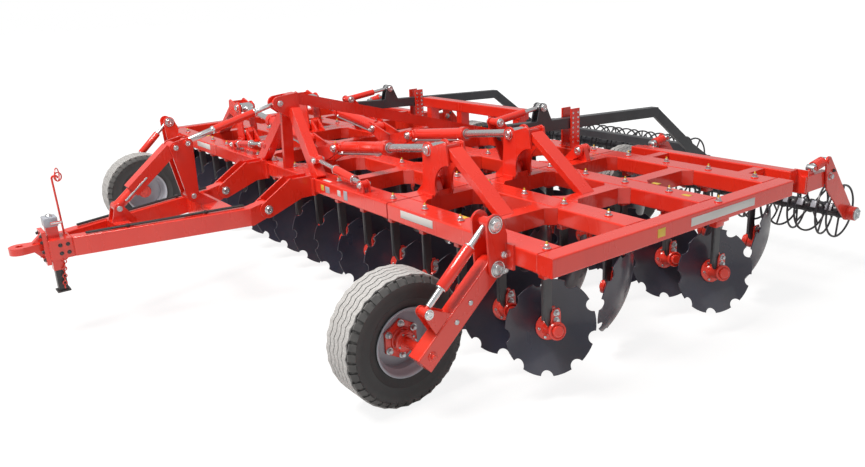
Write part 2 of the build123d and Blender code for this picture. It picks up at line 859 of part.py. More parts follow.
lift_start = at(0, *lift_foot)
lift_end = at(0, *rocker_lift_pin)
lift_line = lift_end - lift_start
lift_up = Vector(0, -lift_line.Z, lift_line.Y).normalized()
with BuildPart() as lift_barrel:
    eye_half = lift_gap / 2 - side_gap
    add(rod(at(-eye_half, *lift_foot), at(eye_half, *lift_foot), 34))
    add(rod(lift_start, between(lift_start, lift_end, lift_split), lift_barrel_radius))
    add(rod(between(lift_start, lift_end, 0.14), between(lift_start, lift_end, lift_split),
            lift_rod_radius + 0.5), mode=Mode.SUBTRACT)
    add(rod(at(-eye_half, *lift_foot), at(eye_half, *lift_foot), pin_radius + running_fit),
        mode=Mode.SUBTRACT)
finish(lift_barrel, "lift_barrel")

with BuildPart() as lift_rod:
    add(rod(between(lift_start, lift_end, lift_split - 0.03), lift_end, lift_rod_radius))
    channel_start = between(lift_start, lift_end, 0.26) + lift_up * 5
    channel_end = between(lift_start, lift_end, 0.96) + lift_up * 5
    add(bar(channel_start, channel_end, (1, 0, 0), channel_width, 96))
    add(bar(channel_start - lift_up * 9, between(lift_start, lift_end, 0.80) - lift_up * 4, (1, 0, 0),
            channel_width - 16, 96), mode=Mode.SUBTRACT)
    add(rod(between(lift_start, lift_end, lift_split - 0.03), lift_end, lift_rod_radius))
    add(rod(at(-channel_width / 2, *rocker_lift_pin), at(channel_width / 2, *rocker_lift_pin), 38))
finish(lift_rod, "lift_rod")


# Support wheels in front of the wings
def make_tyre(x, y):
    with BuildPart() as tyre:
        with BuildSketch(Plane(origin=at(x, y, tyre_radius), x_dir=(1, 0, 0), z_dir=(0, -1, 0))):
            with BuildLine():
                half = tyre_width / 2
                Polyline((-half * 0.78, rim_radius + 0.3), (half * 0.78, rim_radius + 0.3),
                         (half * 0.9, rim_radius + 45), (half, rim_radius + 110),
                         (half * 0.95, tyre_radius - 50), (half * 0.8, tyre_radius - 14),
                         (half * 0.5, tyre_radius), (-half * 0.5, tyre_radius),
                         (-half * 0.8, tyre_radius - 14), (-half * 0.95, tyre_radius - 50),
                         (-half, rim_radius + 110), (-half * 0.9, rim_radius + 45), close=True)
            make_face()
        revolve(axis=Axis(at(x, y, tyre_radius), (1, 0, 0)))
    return tyre.part


def make_rim(x, y, outward):
    """A well rim; its disc and hub lie on the outward side."""
    half = tyre_width / 2
    with BuildPart() as rim:
        add(rod(at(x - half * 0.85, y, tyre_radius), at(x + half * 0.85, y, tyre_radius), rim_radius,
                rim_radius - rim_wall))
        add(rod(at(x + outward * 20, y, tyre_radius), at(x + outward * 32, y, tyre_radius),
                rim_radius - rim_wall / 2))
        add(rod(at(x - outward * 40, y, tyre_radius), at(x + outward * hub_reach, y, tyre_radius), 62))
        add(rod(at(x + outward * 30, y, tyre_radius), at(x + outward * 52, y, tyre_radius), 95))
        add(rod(at(x - 200, y, tyre_radius), at(x + 200, y, tyre_radius), stub_radius + running_fit),
            mode=Mode.SUBTRACT)
    return rim.part


arm_way = (wheel_y - carrier_low_pin[0], tyre_radius - carrier_low_pin[1])
arm_length = hypot(*arm_way)
for name, side in sides.items():
    with BuildPart() as wheel_bracket:
        for edge in (-1, 1):
            plate = side_link([(*carrier_low_pin, 54), (*carrier_top_pin, 58), (-14, beam_foot - 30, 10),
                               (-14, frame_top + 60, 10)], side * carrier_mid +
                              edge * (carrier_gap + carrier_plate) / 2, carrier_plate)
            add(plate)
        add(block((side * carrier_mid - 130, side * carrier_mid + 130), (-16, 0),
                  (beam_foot - 24, frame_top + 10)))
        reach = carrier_gap / 2 + carrier_plate + 14
        add(pin_x((side * carrier_mid - reach, side * carrier_mid + reach), *carrier_low_pin, pin_radius))
        add(pin_x((side * carrier_mid - reach, side * carrier_mid + reach), *carrier_top_pin, pin_radius))
        with BuildSketch(row_plane(0)):
            with Locations((side * carrier_mid, frame_top)):
                Rectangle(600, 600)
        extrude(amount=-200, mode=Mode.SUBTRACT)
    finish(wheel_bracket, f"{name}_wheel_bracket")

    low = at(side * carrier_mid, *carrier_low_pin)
    axle = at(side * carrier_mid, wheel_y, tyre_radius)
    upper = at(side * carrier_mid, *carrier_top_pin)
    lower = at(side * carrier_mid, *arm_lug)
    with BuildPart() as arm:
        add(bar(low, low + (axle - low) * ((arm_length + 70) / arm_length), (1, 0, 0), arm_width,
                arm_depth, 8))
        add(rod(low - Vector(arm_width / 2, 0, 0), low + Vector(arm_width / 2, 0, 0), 56))
        add(rod(axle - Vector(side * 10, 0, 0), at(side * (wheel_x - 60), wheel_y, tyre_radius), stub_radius))
        for edge in (-1, 1):
            add(side_link([(*arm_lug, 30), (arm_lug[0] + 60, arm_lug[1] - 120, 20),
                           (arm_lug[0] + 150, arm_lug[1] - 60, 20)],
                          side * carrier_mid + edge * 36, 12))
        add(rod(lower - Vector(52, 0, 0), lower + Vector(52, 0, 0), pin_radius - 4))
        add(rod(low - Vector(60, 0, 0), low + Vector(60, 0, 0), pin_radius + running_fit),
            mode=Mode.SUBTRACT)
    screw = [rod(upper - Vector(28, 0, 0), upper + Vector(28, 0, 0), 32),
             rod(lower - Vector(28, 0, 0), lower + Vector(28, 0, 0), 27),
             rod(upper, between(upper, lower, 0.3), 15), rod(between(upper, lower, 0.72), lower, 15),
             rod(between(upper, lower, 0.28), between(upper, lower, 0.74), 27)]
    with BuildPart() as turnbuckle:
        add(screw)
        add(rod(upper - Vector(30, 0, 0), upper + Vector(30, 0, 0), pin_radius + running_fit),
            mode=Mode.SUBTRACT)
        add(rod(lower - Vector(30, 0, 0), lower + Vector(30, 0, 0), pin_radius - 4 + running_fit),
            mode=Mode.SUBTRACT)
    with BuildPart() as wheel_arm:
        add(arm.part)
        add(turnbuckle.part)
    finish(wheel_arm, f"{name}_wheel_arm")

    with BuildPart() as tyre:
        add(make_tyre(side * wheel_x, wheel_y))
    finish(tyre, f"{name}_tyre")
    with BuildPart() as rim:
        add(make_rim(side * wheel_x, wheel_y, side))
    finish(rim, f"{name}_rim")


# Rollers: ring cages on a core tube
def make_cage(x_range, axis):
    width = x_range[1] - x_range[0]
    count = int((width - roller_bar) / roller_pitch) + 1
    first = (x_range[0] + x_range[1] - (count - 1) * roller_pitch) / 2
    pieces = [rod(at(x_range[0], *axis), at(x_range[1], *axis), roller_core)]
    for index in range(count):
        x = first + index * roller_pitch
        start = at(x - roller_bar / 2, *axis)
        end = at(x + roller_bar / 2, *axis)
        pieces.append(rod(start, end, roller_radius, roller_radius - roller_bar))
        turn = index * pi / 7
        for quarter in (0, pi / 2):
            spoke = Vector(0, cos(turn + quarter), sin(turn + quarter)) * (roller_radius - roller_bar / 2)
            middle = at(x, *axis)
            pieces.append(bar(middle - spoke, middle + spoke, (1, 0, 0), roller_bar - 4, roller_bar))
    return pieces


for name, side in sides.items():
    inner = side * wing_roller_inner
    outer = side * wing_roller_outer
    plates = {side * (wing_roller_inner - 20): -side, side * end_plate_x: side}
    with BuildPart() as roller_frame:
        add(block(sorted((side * (wing_roller_inner - 60), side * roller_beam_end)), roller_beam_y,
                  (roller_beam_foot, frame_top), beam_corner))
        for x in roller_arm_x:
            add(block((side * x - 40, side * x + 40), (frame_depth, roller_beam_y[0] + 10),
                      (frame_top - 90, frame_top - 6)))
        for x, away in plates.items():
            arm_x = x - away * (end_plate_thick / 2 + end_arm_width / 2 + 6)
            add(side_link([(*end_plate_pin, 38), end_plate_heel, (*wing_roller, 62)], x, end_plate_thick))
            add(block((arm_x - end_arm_width / 2, arm_x + end_arm_width / 2),
                      (roller_beam_y[1] - 20, end_plate_pivot[0] - 30), end_arm_z))
            add(block(sorted((arm_x - away * 80, arm_x + away * 28)),
                      (roller_beam_y[1] - 1, roller_beam_y[1] + 14), (end_arm_z[0] - 12, frame_top)))
            add(side_link([(*end_plate_pivot, 42), (end_plate_pivot[0] - 70, end_arm_z[0] + 30, 30),
                           (end_plate_pivot[0] - 70, end_arm_z[1] - 30, 30)], arm_x, end_arm_width))
            add(pin_x(sorted((arm_x - away * 30, x + away * 16)), *end_plate_pivot, 20))
            add(side_link([(*spring_foot, 24), (spring_foot[0] - 34, end_arm_z[1] - 8, 6),
                           (spring_foot[0] + 34, end_arm_z[1] - 8, 6)], arm_x, 16))
            add(rod(at(arm_x - 26, *spring_foot), at(arm_x + 26, *spring_foot), 26))
            spring_start = at(arm_x, *spring_foot)
            spring_end = at(arm_x, *end_plate_pin)
            add(rod(between(spring_start, spring_end, 0.18), between(spring_start, spring_end, 0.82),
                    spring_radius))
            add(rod(spring_start, spring_end, 16))
            add(rod(at(arm_x - 26, *end_plate_pin), at(arm_x + 26, *end_plate_pin), 26))
            add(pin_x(sorted((arm_x - away * 30, x + away * 14)), *end_plate_pin, 18))
            add(rod(at(x, *wing_roller), at(x + away * (70 if away == side else 40), *wing_roller), 54))
            add(rod(at(x - 100, *wing_roller), at(x + 100, *wing_roller), axle_radius + running_fit),
                mode=Mode.SUBTRACT)
    finish(roller_frame, f"{name}_roller_frame")
    with BuildPart() as cage:
        add(make_cage(sorted((inner, outer)), wing_roller))
        add(rod(at(inner - side * 58, *wing_roller), at(outer + side * 88, *wing_roller), axle_radius))
    finish(cage, f"{name}_roller_cage")


# Centre roller on two long levers
for name, side in sides.items():
    x = side * lever_x
    with BuildPart() as bracket:
        for edge in (-1, 1):
            plate_x = x + edge * (lever_gap + lever_plate) / 2
            add(side_link([(*lever_barrel_pin, 34), (*lever_hinge, 44), (row_y[2] - 85, frame_top + 6, 6),
                           (row_y[2] + 85, frame_top + 6, 6)], plate_x, lever_plate))
            add(side_plate([(stop_y[0], frame_top), (stop_y[1], frame_top), (stop_y[1], stop_top),
                            (stop_y[0], stop_top)], plate_x, lever_plate))
        reach = lever_gap / 2 + lever_plate + 12
        add(pin_x((x - reach, x + reach), *lever_hinge, lever_pin))
        add(pin_x((x - reach, x + reach), *lever_barrel_pin, lever_pin))
        add(block((x - lever_gap / 2 - lever_plate, x + lever_gap / 2 + lever_plate), stop_y,
                  (frame_top, frame_top + 16)))
    finish(bracket, f"lever_bracket_{name}")

    with BuildPart() as lever:
        add(bar(at(x, *lever_front), at(x, *lever_rear), (1, 0, 0), lever_width, lever_depth))
        add(rod(at(x - lever_width / 2, *lever_hinge), at(x + lever_width / 2, *lever_hinge), 46))
        for edge in (-1, 1):
            add(side_link([(*lever_rod_pin, 36), (lever_rod_pin[0] - 60, lever_rod_pin[1] - 150, 20),
                           (lever_rod_pin[0] + 90, lever_rod_pin[1] - 150, 20)], x + edge * 34, 12))
            add(pin_x(sorted((x + edge * 39, x + edge * 45)), *lever_rod_pin, lever_pin + 4))
        add(side_link([(lever_rear[0], lever_rear[1], 45), (*lever_arm_end, 50)], x, 30))
        add(side_link([(*lever_arm_end, 50), (*rear_roller, 60)], x, 30))
        add(rod(at(x - side * 24, *rear_roller), at(x + side * 60, *rear_roller), 55))
        add(rod(at(x - 100, *rear_roller), at(x + 100, *rear_roller), axle_radius + running_fit),
            mode=Mode.SUBTRACT)
        add(rod(at(x - 60, *lever_hinge), at(x + 60, *lever_hinge), lever_pin + running_fit),
            mode=Mode.SUBTRACT)
    finish(lever, f"lever_{name}")

with BuildPart() as centre_roller:
    add(make_cage((-rear_roller_half, rear_roller_half), rear_roller))
    add(rod(at(-lever_x - 50, *rear_roller), at(lever_x + 50, *rear_roller), axle_radius))
finish(centre_roller, "centre_roller")

with BuildPart() as lever_tie:
    add(block((-lever_x + 15.2, lever_x - 15.2), (lever_arm_end[0] - 40, lever_arm_end[0] + 40),
              (lever_arm_end[1] - 40, lever_arm_end[1] + 40), 8))
finish(lever_tie, "lever_tie")

barrel_pieces = []
rod_pieces = []
for side in (1, -1):
    x = side * lever_x
    start = at(x, *lever_barrel_pin)
    end = at(x, *lever_rod_pin)
    with BuildPart() as barrel:
        add(rod(start - Vector(lever_gap / 2 - side_gap, 0, 0), start + Vector(lever_gap / 2 - side_gap, 0, 0),
                lever_barrel_radius))
        add(rod(start, between(start, end, 0.62), lever_barrel_radius))
        add(rod(between(start, end, 0.2), between(start, end, 0.62), 18.5), mode=Mode.SUBTRACT)
        add(rod(start - Vector(60, 0, 0), start + Vector(60, 0, 0), lever_pin + running_fit),
            mode=Mode.SUBTRACT)
    barrel_pieces.append(barrel.part)
    with BuildPart() as piston:
        add(rod(between(start, end, 0.55), end, 18))
        add(rod(end - Vector(22, 0, 0), end + Vector(22, 0, 0), 34))
    rod_pieces.append(piston.part)
with BuildPart() as lever_barrels:
    add(barrel_pieces)
finish(lever_barrels, "lever_barrels")
with BuildPart() as lever_rods:
    add(rod_pieces)
finish(lever_rods, "lever_rods")

with BuildPart() as rear_gantry:
    add(block(gantry_x, gantry_y, gantry_z, 8))
    for x in gantry_posts:
        add(block((x - 40, x + 40), (gantry_y[0] + 5, gantry_y[1] - 5), (frame_top, gantry_z[0] + 5)))
finish(rear_gantry, "rear_gantry")


# Transport wheels behind the centre section
for name, side in sides.items():
    with BuildPart() as transport_arm:
        x = side * (transport_x - transport_offset)
        add(bar(at(x, frame_depth - 30, beam_mid - 30), at(x, transport_y + 40, tyre_radius - 10), (1, 0, 0),
                90, 120, 8))
        add(block((x - 90, x + 90), (frame_depth, frame_depth + 16), (beam_foot, frame_top)))
        add(rod(at(x, transport_y, tyre_radius), at(side * (transport_x + 60), transport_y, tyre_radius),
                stub_radius))
        add(block((x - 200, x + 200), (frame_depth - 400, frame_depth), (0, 2000)), mode=Mode.SUBTRACT)
    finish(transport_arm, f"transport_arm_{name}")
    with BuildPart() as transport_wheel:
        add(make_tyre(side * transport_x, transport_y))
        add(make_rim(side * transport_x, transport_y, -side))
    finish(transport_wheel, f"transport_wheel_{name}")

    # Screws that level the front corners of the centre section
    near = at(side * screw_near[0], screw_near[1], screw_near[2])
    far = at(side * screw_far[0], screw_far[1], screw_far[2])
    with BuildPart() as screw_set:
        add(rod(near, far, 15))
        add(rod(between(near, far, 0.42), between(near, far, 0.80), 32))
        for point in (near, far):
            add(rod(point - Vector(0, 20, 0), point + Vector(0, 20, 0), 30))
            add(rod(point - Vector(0, 44, 0), point + Vector(0, 44, 0), 14))
        for edge in (-1, 1):
            add(row_link([(near.X, near.Z, 28), (side * 430, near.Z, 28)], screw_near[1] + edge * screw_lug,
                         12))
            add(row_link([(far.X, far.Z, 34), (far.X - 40, frame_top + 4, 4), (far.X + 40, frame_top + 4, 4)],
                         screw_far[1] + edge * screw_lug, 12))
        add(tower.part, mode=Mode.SUBTRACT)
    finish(screw_set, f"levelling_screw_{name}")
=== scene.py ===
import json
from math import cos, pi, radians, sin

import bmesh
import bpy
from mathutils import Matrix, Vector


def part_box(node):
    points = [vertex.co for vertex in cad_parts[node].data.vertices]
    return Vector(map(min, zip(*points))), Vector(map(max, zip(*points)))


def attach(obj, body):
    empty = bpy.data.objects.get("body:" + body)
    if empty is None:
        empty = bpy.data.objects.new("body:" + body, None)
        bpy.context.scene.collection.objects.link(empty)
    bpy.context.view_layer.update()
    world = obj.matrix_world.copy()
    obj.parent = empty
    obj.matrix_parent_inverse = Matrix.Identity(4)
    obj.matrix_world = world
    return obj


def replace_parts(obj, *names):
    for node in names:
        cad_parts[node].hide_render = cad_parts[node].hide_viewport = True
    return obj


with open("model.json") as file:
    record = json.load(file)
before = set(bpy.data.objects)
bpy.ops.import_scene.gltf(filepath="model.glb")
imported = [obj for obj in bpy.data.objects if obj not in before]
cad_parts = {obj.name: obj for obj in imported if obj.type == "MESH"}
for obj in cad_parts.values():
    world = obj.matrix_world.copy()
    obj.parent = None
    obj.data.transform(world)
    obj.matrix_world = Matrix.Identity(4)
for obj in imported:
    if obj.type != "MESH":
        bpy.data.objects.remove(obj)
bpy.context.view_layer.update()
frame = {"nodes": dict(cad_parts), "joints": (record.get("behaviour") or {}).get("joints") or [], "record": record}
pivots = {joint["name"]: Vector(joint["pos_m"]) for joint in frame["joints"] if joint.get("pos_m")}
sides = {"left": 1, "right": -1}
print("frame loaded:", len(frame["nodes"]), "nodes")

# camera, light and floor
lookOut = {"place": (5.806, -3.806, 2.272), "azimuth": 54.346, "elevation": 17.552, "roll": -2.818,
           "lens": 31.65}


def aimCamera():
    turn, tilt, roll = (radians(lookOut[key]) for key in ("azimuth", "elevation", "roll"))
    ahead = Vector((-sin(turn) * cos(tilt), cos(turn) * cos(tilt), -sin(tilt)))
    right = ahead.cross(Vector((0, 0, 1))).normalized()
    up = right.cross(ahead)
    sideways = right * cos(roll) + up * sin(roll)
    upwards = up * cos(roll) - right * sin(roll)
    data = bpy.data.cameras.new("studioCamera")
    data.lens = lookOut["lens"]
    data.sensor_width = 36
    data.clip_end = 400
    camera = bpy.data.objects.new("studioCamera", data)
    turned = Matrix((sideways, upwards, -ahead)).transposed().to_4x4()
    camera.matrix_world = Matrix.Translation(lookOut["place"]) @ turned
    bpy.context.collection.objects.link(camera)
    bpy.context.scene.camera = camera


aimCamera()
bpy.context.scene.view_settings.view_transform = "Standard"


# shader helpers
def sums(operation, swapped=False):
    def run(self, other):
        first, second = (other, self) if swapped else (self, other)
        return self.graph.node("ShaderNodeMath", {"operation": operation}, {0: first, 1: second})
    return run


class Value:
    __add__ = __radd__ = sums("ADD")
    __mul__ = __rmul__ = sums("MULTIPLY")
    __sub__ = sums("SUBTRACT")
    __rsub__ = sums("SUBTRACT", True)
    __truediv__ = sums("DIVIDE")
    __pow__ = sums("POWER")

    def __init__(self, graph, socket):
        self.graph = graph
        self.socket = socket

    def ramp(self, low, high, start=0.0, end=1.0):
        return self.graph.node("ShaderNodeMapRange", {"clamp": True},
                               {"Value": self, "From Min": low, "From Max": high,
                                "To Min": start, "To Max": end})

    def most(self, other):
        return self.graph.node("ShaderNodeMath", {"operation": "MAXIMUM"}, {0: self, 1: other})


class Graph:
    def __init__(self, tree):
        self.tree = tree
        tree.nodes.clear()

    def node(self, kind, settings=None, values=None, output=0):
        made = self.tree.nodes.new(kind)
        for key, value in (settings or {}).items():
            if key == "stops":
                ramp = made.color_ramp
                for index, (place, colour) in enumerate(value):
                    stop = ramp.elements[index] if index < 2 else ramp.elements.new(place)
                    stop.position = place
                    stop.color = (*colour, 1)
            else:
                setattr(made, key, value)
        for key, value in (values or {}).items():
            if isinstance(value, Value):
                self.tree.links.new(value.socket, made.inputs[key])
            elif isinstance(value, tuple) and len(value) == 3 and made.inputs[key].type == "RGBA":
                made.inputs[key].default_value = (*value, 1)
            else:
                made.inputs[key].default_value = value
        return Value(self, made.outputs[output]) if len(made.outputs) else None

    def place(self, stretch=(1, 1, 1)):
        spot = self.node("ShaderNodeTexCoord", output="Object")
        return self.node("ShaderNodeMapping", values={"Vector": spot, "Scale": stretch})

    def noise(self, scale, detail=3.0, rough=0.5, stretch=(1, 1, 1)):
        return self.node("ShaderNodeTexNoise", {"noise_dimensions": "3D"},
                         {"Vector": self.place(stretch), "Scale": scale, "Detail": detail,
                          "Roughness": rough})

    def mix(self, mask, first, second):
        return self.node("ShaderNodeMix", {"data_type": "RGBA"}, {0: mask, 6: first, 7: second}, output=2)

    def height(self):
        spot = self.node("ShaderNodeTexCoord", output="Object")
        return self.node("ShaderNodeSeparateXYZ", values={0: spot}, output="Z")

    def edges(self, radius):
        rounded = self.node("ShaderNodeBevel", {"samples": 4}, {"Radius": radius})
        flat = self.node("ShaderNodeNewGeometry", output="Normal")
        likeness = self.node("ShaderNodeVectorMath", {"operation": "DOT_PRODUCT"}, {0: rounded, 1: flat},
                             output="Value")
        return rounded, 1 - likeness

    def finish(self, colour, rough, normal=None, **constants):
        values = {"Base Color": colour, "Roughness": rough}
        values.update({key.replace("_", " "): value for key, value in constants.items()})
        if normal:
            values["Normal"] = normal
        made = self.node("ShaderNodeBsdfPrincipled", values=values)
        self.node("ShaderNodeOutputMaterial", values={"Surface": made})


def newMaterial(name):
    material = bpy.data.materials.new(name)
    material.use_nodes = True
    return material, Graph(material.node_tree)


# floor, world and lamps
lighting = {"world": 0.30, "mirrored": 0.44, "floorShade": 0.24, "shadeReach": (4.5, 8.0), "glow": 1.14,
            "keyLamp": {"azimuth": 8, "elevation": 64, "away": 13, "size": 5, "power": 1750,
                        "tint": (1, 0.97, 0.93)},
            "fillLamp": {"azimuth": 100, "elevation": 30, "away": 13, "size": 7, "power": 80,
                         "tint": (0.93, 0.96, 1)}}


def buildStage():
    material, graph = newMaterial("paleFloor")
    rays = graph.node("ShaderNodeLightPath", output="Is Camera Ray")
    grain = graph.noise(0.6, 4).ramp(0.3, 0.7, 0.74, 0.80)
    tone = graph.node("ShaderNodeCombineColor", values={0: grain, 1: grain, 2: grain})
    pale = graph.node("ShaderNodeBsdfDiffuse", values={"Color": tone})
    glow = graph.node("ShaderNodeEmission", values={"Color": (1, 1, 1), "Strength": lighting["glow"]})
    parts = graph.tree.nodes.new("ShaderNodeSeparateXYZ")
    graph.tree.links.new(graph.node("ShaderNodeTexCoord", output="Object").socket, parts.inputs[0])
    x, y = (Value(graph, parts.outputs[axis]) for axis in ("X", "Y"))
    away = ((x * x + y * y) ** 0.5).ramp(*lighting["shadeReach"])
    shade = (1 - away) * lighting["floorShade"]
    seen = graph.node("ShaderNodeMixShader", values={0: rays * (1 - shade), 1: pale, 2: glow})
    graph.node("ShaderNodeOutputMaterial", values={"Surface": seen})
    mesh = bmesh.new()
    bmesh.ops.create_circle(mesh, cap_ends=True, segments=96, radius=90)
    floor = bpy.data.meshes.new("studioFloor")
    mesh.to_mesh(floor)
    mesh.free()
    floor.materials.append(material)
    made = bpy.data.objects.new("studioFloor", floor)
    made.location.z = -0.001
    bpy.context.collection.objects.link(made)
    world = bpy.data.worlds.new("paleSky")
    world.use_nodes = True
    bpy.context.scene.world = world
    sky = Graph(world.node_tree)
    path = sky.tree.nodes.new("ShaderNodeLightPath")
    rayNames = ("Is Camera Ray", "Is Glossy Ray", "Is Transmission Ray")
    seenBy = [Value(sky, path.outputs[name]) for name in rayNames]
    bright = (seenBy[1] * lighting["mirrored"]).most(seenBy[0]).most(seenBy[2]).most(lighting["world"])
    light = sky.node("ShaderNodeBackground", values={"Color": (1, 1, 1), "Strength": bright})
    sky.node("ShaderNodeOutputWorld", values={"Surface": light})


def addLamp(name, azimuth, elevation, away, size, power, tint):
    turn, tilt = radians(azimuth), radians(elevation)
    data = bpy.data.lights.new(name, "AREA")
    data.energy = power
    data.size = size
    data.color = tint
    lamp = bpy.data.objects.new(name, data)
    lamp.location = Vector((sin(turn) * cos(tilt), -cos(turn) * cos(tilt), sin(tilt))) * away
    lamp.rotation_euler = (Vector((0, 0, 0.5)) - lamp.location).to_track_quat("-Z", "Y").to_euler()
    bpy.context.collection.objects.link(lamp)


buildStage()
for lampName in ("keyLamp", "fillLamp"):
    addLamp(lampName, **lighting[lampName])
print("stage ready")

# finishes
finishes = {
    "redPaint": {"main": (0.86, 0.034, 0.013), "deep": (0.70, 0.018, 0.009), "worn": (0.88, 0.12, 0.07),
                 "rough": 0.24, "coat": 0.7, "dust": 0.22, "grain": 240},
    "graphitePaint": {"main": (0.058, 0.061, 0.070), "deep": (0.024, 0.027, 0.032),
                      "worn": (0.16, 0.17, 0.18), "rough": 0.42, "coat": 0.2, "dust": 0.12, "grain": 180},
    "discSteel": {"main": (0.038, 0.041, 0.066), "deep": (0.014, 0.015, 0.028), "worn": (0.18, 0.185, 0.22),
                  "rough": 0.27, "coat": 0.45, "dust": 0.10, "grain": 90},
    "rollerBlack": {"main": (0.020, 0.021, 0.030), "deep": (0.010, 0.010, 0.016), "worn": (0.12, 0.12, 0.13),
                    "rough": 0.38, "coat": 0.25, "dust": 0.10, "grain": 160},
    "rimGrey": {"main": (0.42, 0.44, 0.49), "deep": (0.30, 0.32, 0.38), "worn": (0.62, 0.63, 0.66),
                "rough": 0.34, "coat": 0.3, "dust": 0.20, "grain": 200},
    "jackBlack": {"main": (0.026, 0.026, 0.030), "deep": (0.014, 0.014, 0.017), "worn": (0.16, 0.15, 0.15),
                  "rough": 0.40, "coat": 0.2, "dust": 0.15, "grain": 160},
    "blankPlate": {"main": (0.72, 0.70, 0.68), "deep": (0.60, 0.58, 0.56), "worn": (0.80, 0.80, 0.80),
                   "rough": 0.35, "coat": 0.3, "dust": 0.10, "grain": 300},
    "yellowCap": {"main": (0.80, 0.55, 0.06), "deep": (0.66, 0.40, 0.03), "worn": (0.85, 0.70, 0.30),
                  "rough": 0.45, "coat": 0.2, "dust": 0.10, "grain": 300},
    "hoseRubber": {"main": (0.018, 0.018, 0.020), "deep": (0.010, 0.010, 0.011), "worn": (0.10, 0.10, 0.10),
                   "rough": 0.55, "coat": 0.0, "dust": 0.15, "grain": 400},
}
soil = (0.36, 0.28, 0.22)


def paintFinish(name):
    look = finishes[name]
    material, graph = newMaterial(name)
    cloud = graph.noise(1.4, 5).ramp(0.35, 0.68)
    streak = graph.noise(5, 4, 0.6, (1, 1, 0.2)).ramp(0.4, 0.7)
    rounded, edge = graph.edges(0.005)
    chipped = edge.ramp(0.03, 0.16) * graph.noise(38, 4, 0.65).ramp(0.50, 0.66)
    dusty = graph.height().ramp(0.9, 0.1) * graph.noise(3.2, 6, 0.6).ramp(0.35, 0.75) * look["dust"]
    colour = graph.mix(cloud * 0.55 + streak * 0.25, look["main"], look["deep"])
    colour = graph.mix(chipped * 0.7, colour, look["worn"])
    colour = graph.mix(dusty, colour, soil)
    peel = graph.noise(look["grain"], 2)
    bump = graph.node("ShaderNodeBump", values={"Strength": 0.12, "Distance": 0.0008, "Height": peel,
                                                "Normal": rounded})
    rough = look["rough"] + dusty * 0.8 + streak * 0.06 + chipped * 0.12
    graph.finish(colour, rough, bump, Coat_Weight=look["coat"], Coat_Roughness=0.10)
    return material


def platedFinish(name, tone, rough):
    material, graph = newMaterial(name)
    rounded, edge = graph.edges(0.003)
    cloud = graph.noise(9, 4).ramp(0.3, 0.7)
    spots = graph.noise(60, 3).ramp(0.58, 0.70)
    colour = graph.mix(cloud * 0.4 + spots * 0.3, tone, tuple(part * 0.62 for part in tone))
    scratch = graph.noise(120, 2, 0.5, (1, 1, 0.15))
    bump = graph.node("ShaderNodeBump", values={"Strength": 0.10, "Distance": 0.0005, "Height": scratch,
                                                "Normal": rounded})
    graph.finish(colour, rough + cloud * 0.12, bump, Metallic=0.92)
    return material


def tyreFinish(name, centre):
    material, graph = newMaterial(name)
    spot = graph.node("ShaderNodeTexCoord", output="Object")
    local = graph.node("ShaderNodeMapping", values={"Vector": spot, "Location": tuple(-centre)})
    parts = graph.tree.nodes.new("ShaderNodeSeparateXYZ")
    graph.tree.links.new(local.socket, parts.inputs[0])
    y, z = (Value(graph, parts.outputs[axis]) for axis in ("Y", "Z"))
    reach = (y * y + z * z) ** 0.5
    outer = reach.ramp(0.315, 0.385)
    crown = reach.ramp(0.388, 0.398)
    scuff = graph.noise(14, 5, 0.65).ramp(0.35, 0.70)
    speck = graph.noise(90, 3).ramp(0.45, 0.70)
    rings = graph.node("ShaderNodeMath", {"operation": "SINE"}, {0: reach * 900}).ramp(0.55, 1.0)
    colour = graph.mix(scuff * 0.5, (0.046, 0.046, 0.048), (0.075, 0.073, 0.072))
    colour = graph.mix(outer * (0.25 + scuff * 0.3), colour, (0.16, 0.155, 0.15))
    colour = graph.mix(crown * (0.68 + speck * 0.3), colour, (0.62, 0.61, 0.60))
    grain = graph.noise(320, 2) + rings * (1 - outer) * 0.4
    bump = graph.node("ShaderNodeBump", values={"Strength": 0.25, "Distance": 0.001, "Height": grain})
    graph.finish(colour, 0.62 + scuff * 0.15, bump, Specular_IOR_Level=0.35)
    return material


materials = {name: paintFinish(name) for name in finishes}
materials["platedSteel"] = platedFinish("platedSteel", (0.80, 0.81, 0.82), 0.20)
materials["zincSteel"] = platedFinish("zincSteel", (0.62, 0.66, 0.68), 0.30)
slotFinish = {"red_paint": "redPaint", "graphite_paint": "graphitePaint", "disc_steel": "discSteel",
              "roller_black": "rollerBlack", "plated_rod": "platedSteel", "rim_grey": "rimGrey",
              "tyre_rubber": "hoseRubber", "jack_black": "jackBlack"}
finishSlot = {value: key for key, value in slotFinish.items()}
finishSlot["hoseRubber"] = "tyre_rubber"
for part in frame["record"]["subparts"]:
    node = frame["nodes"][part["node"]]
    node.data.materials.clear()
    node.data.materials.append(materials[slotFinish[part["material_slot"]]])
print("finishes ready")


# modelling bench: gathers the geometry of one piece
def facing(place, way):
    return Matrix.Translation(place) @ Vector(way).to_track_quat("Z", "Y").to_matrix().to_4x4()


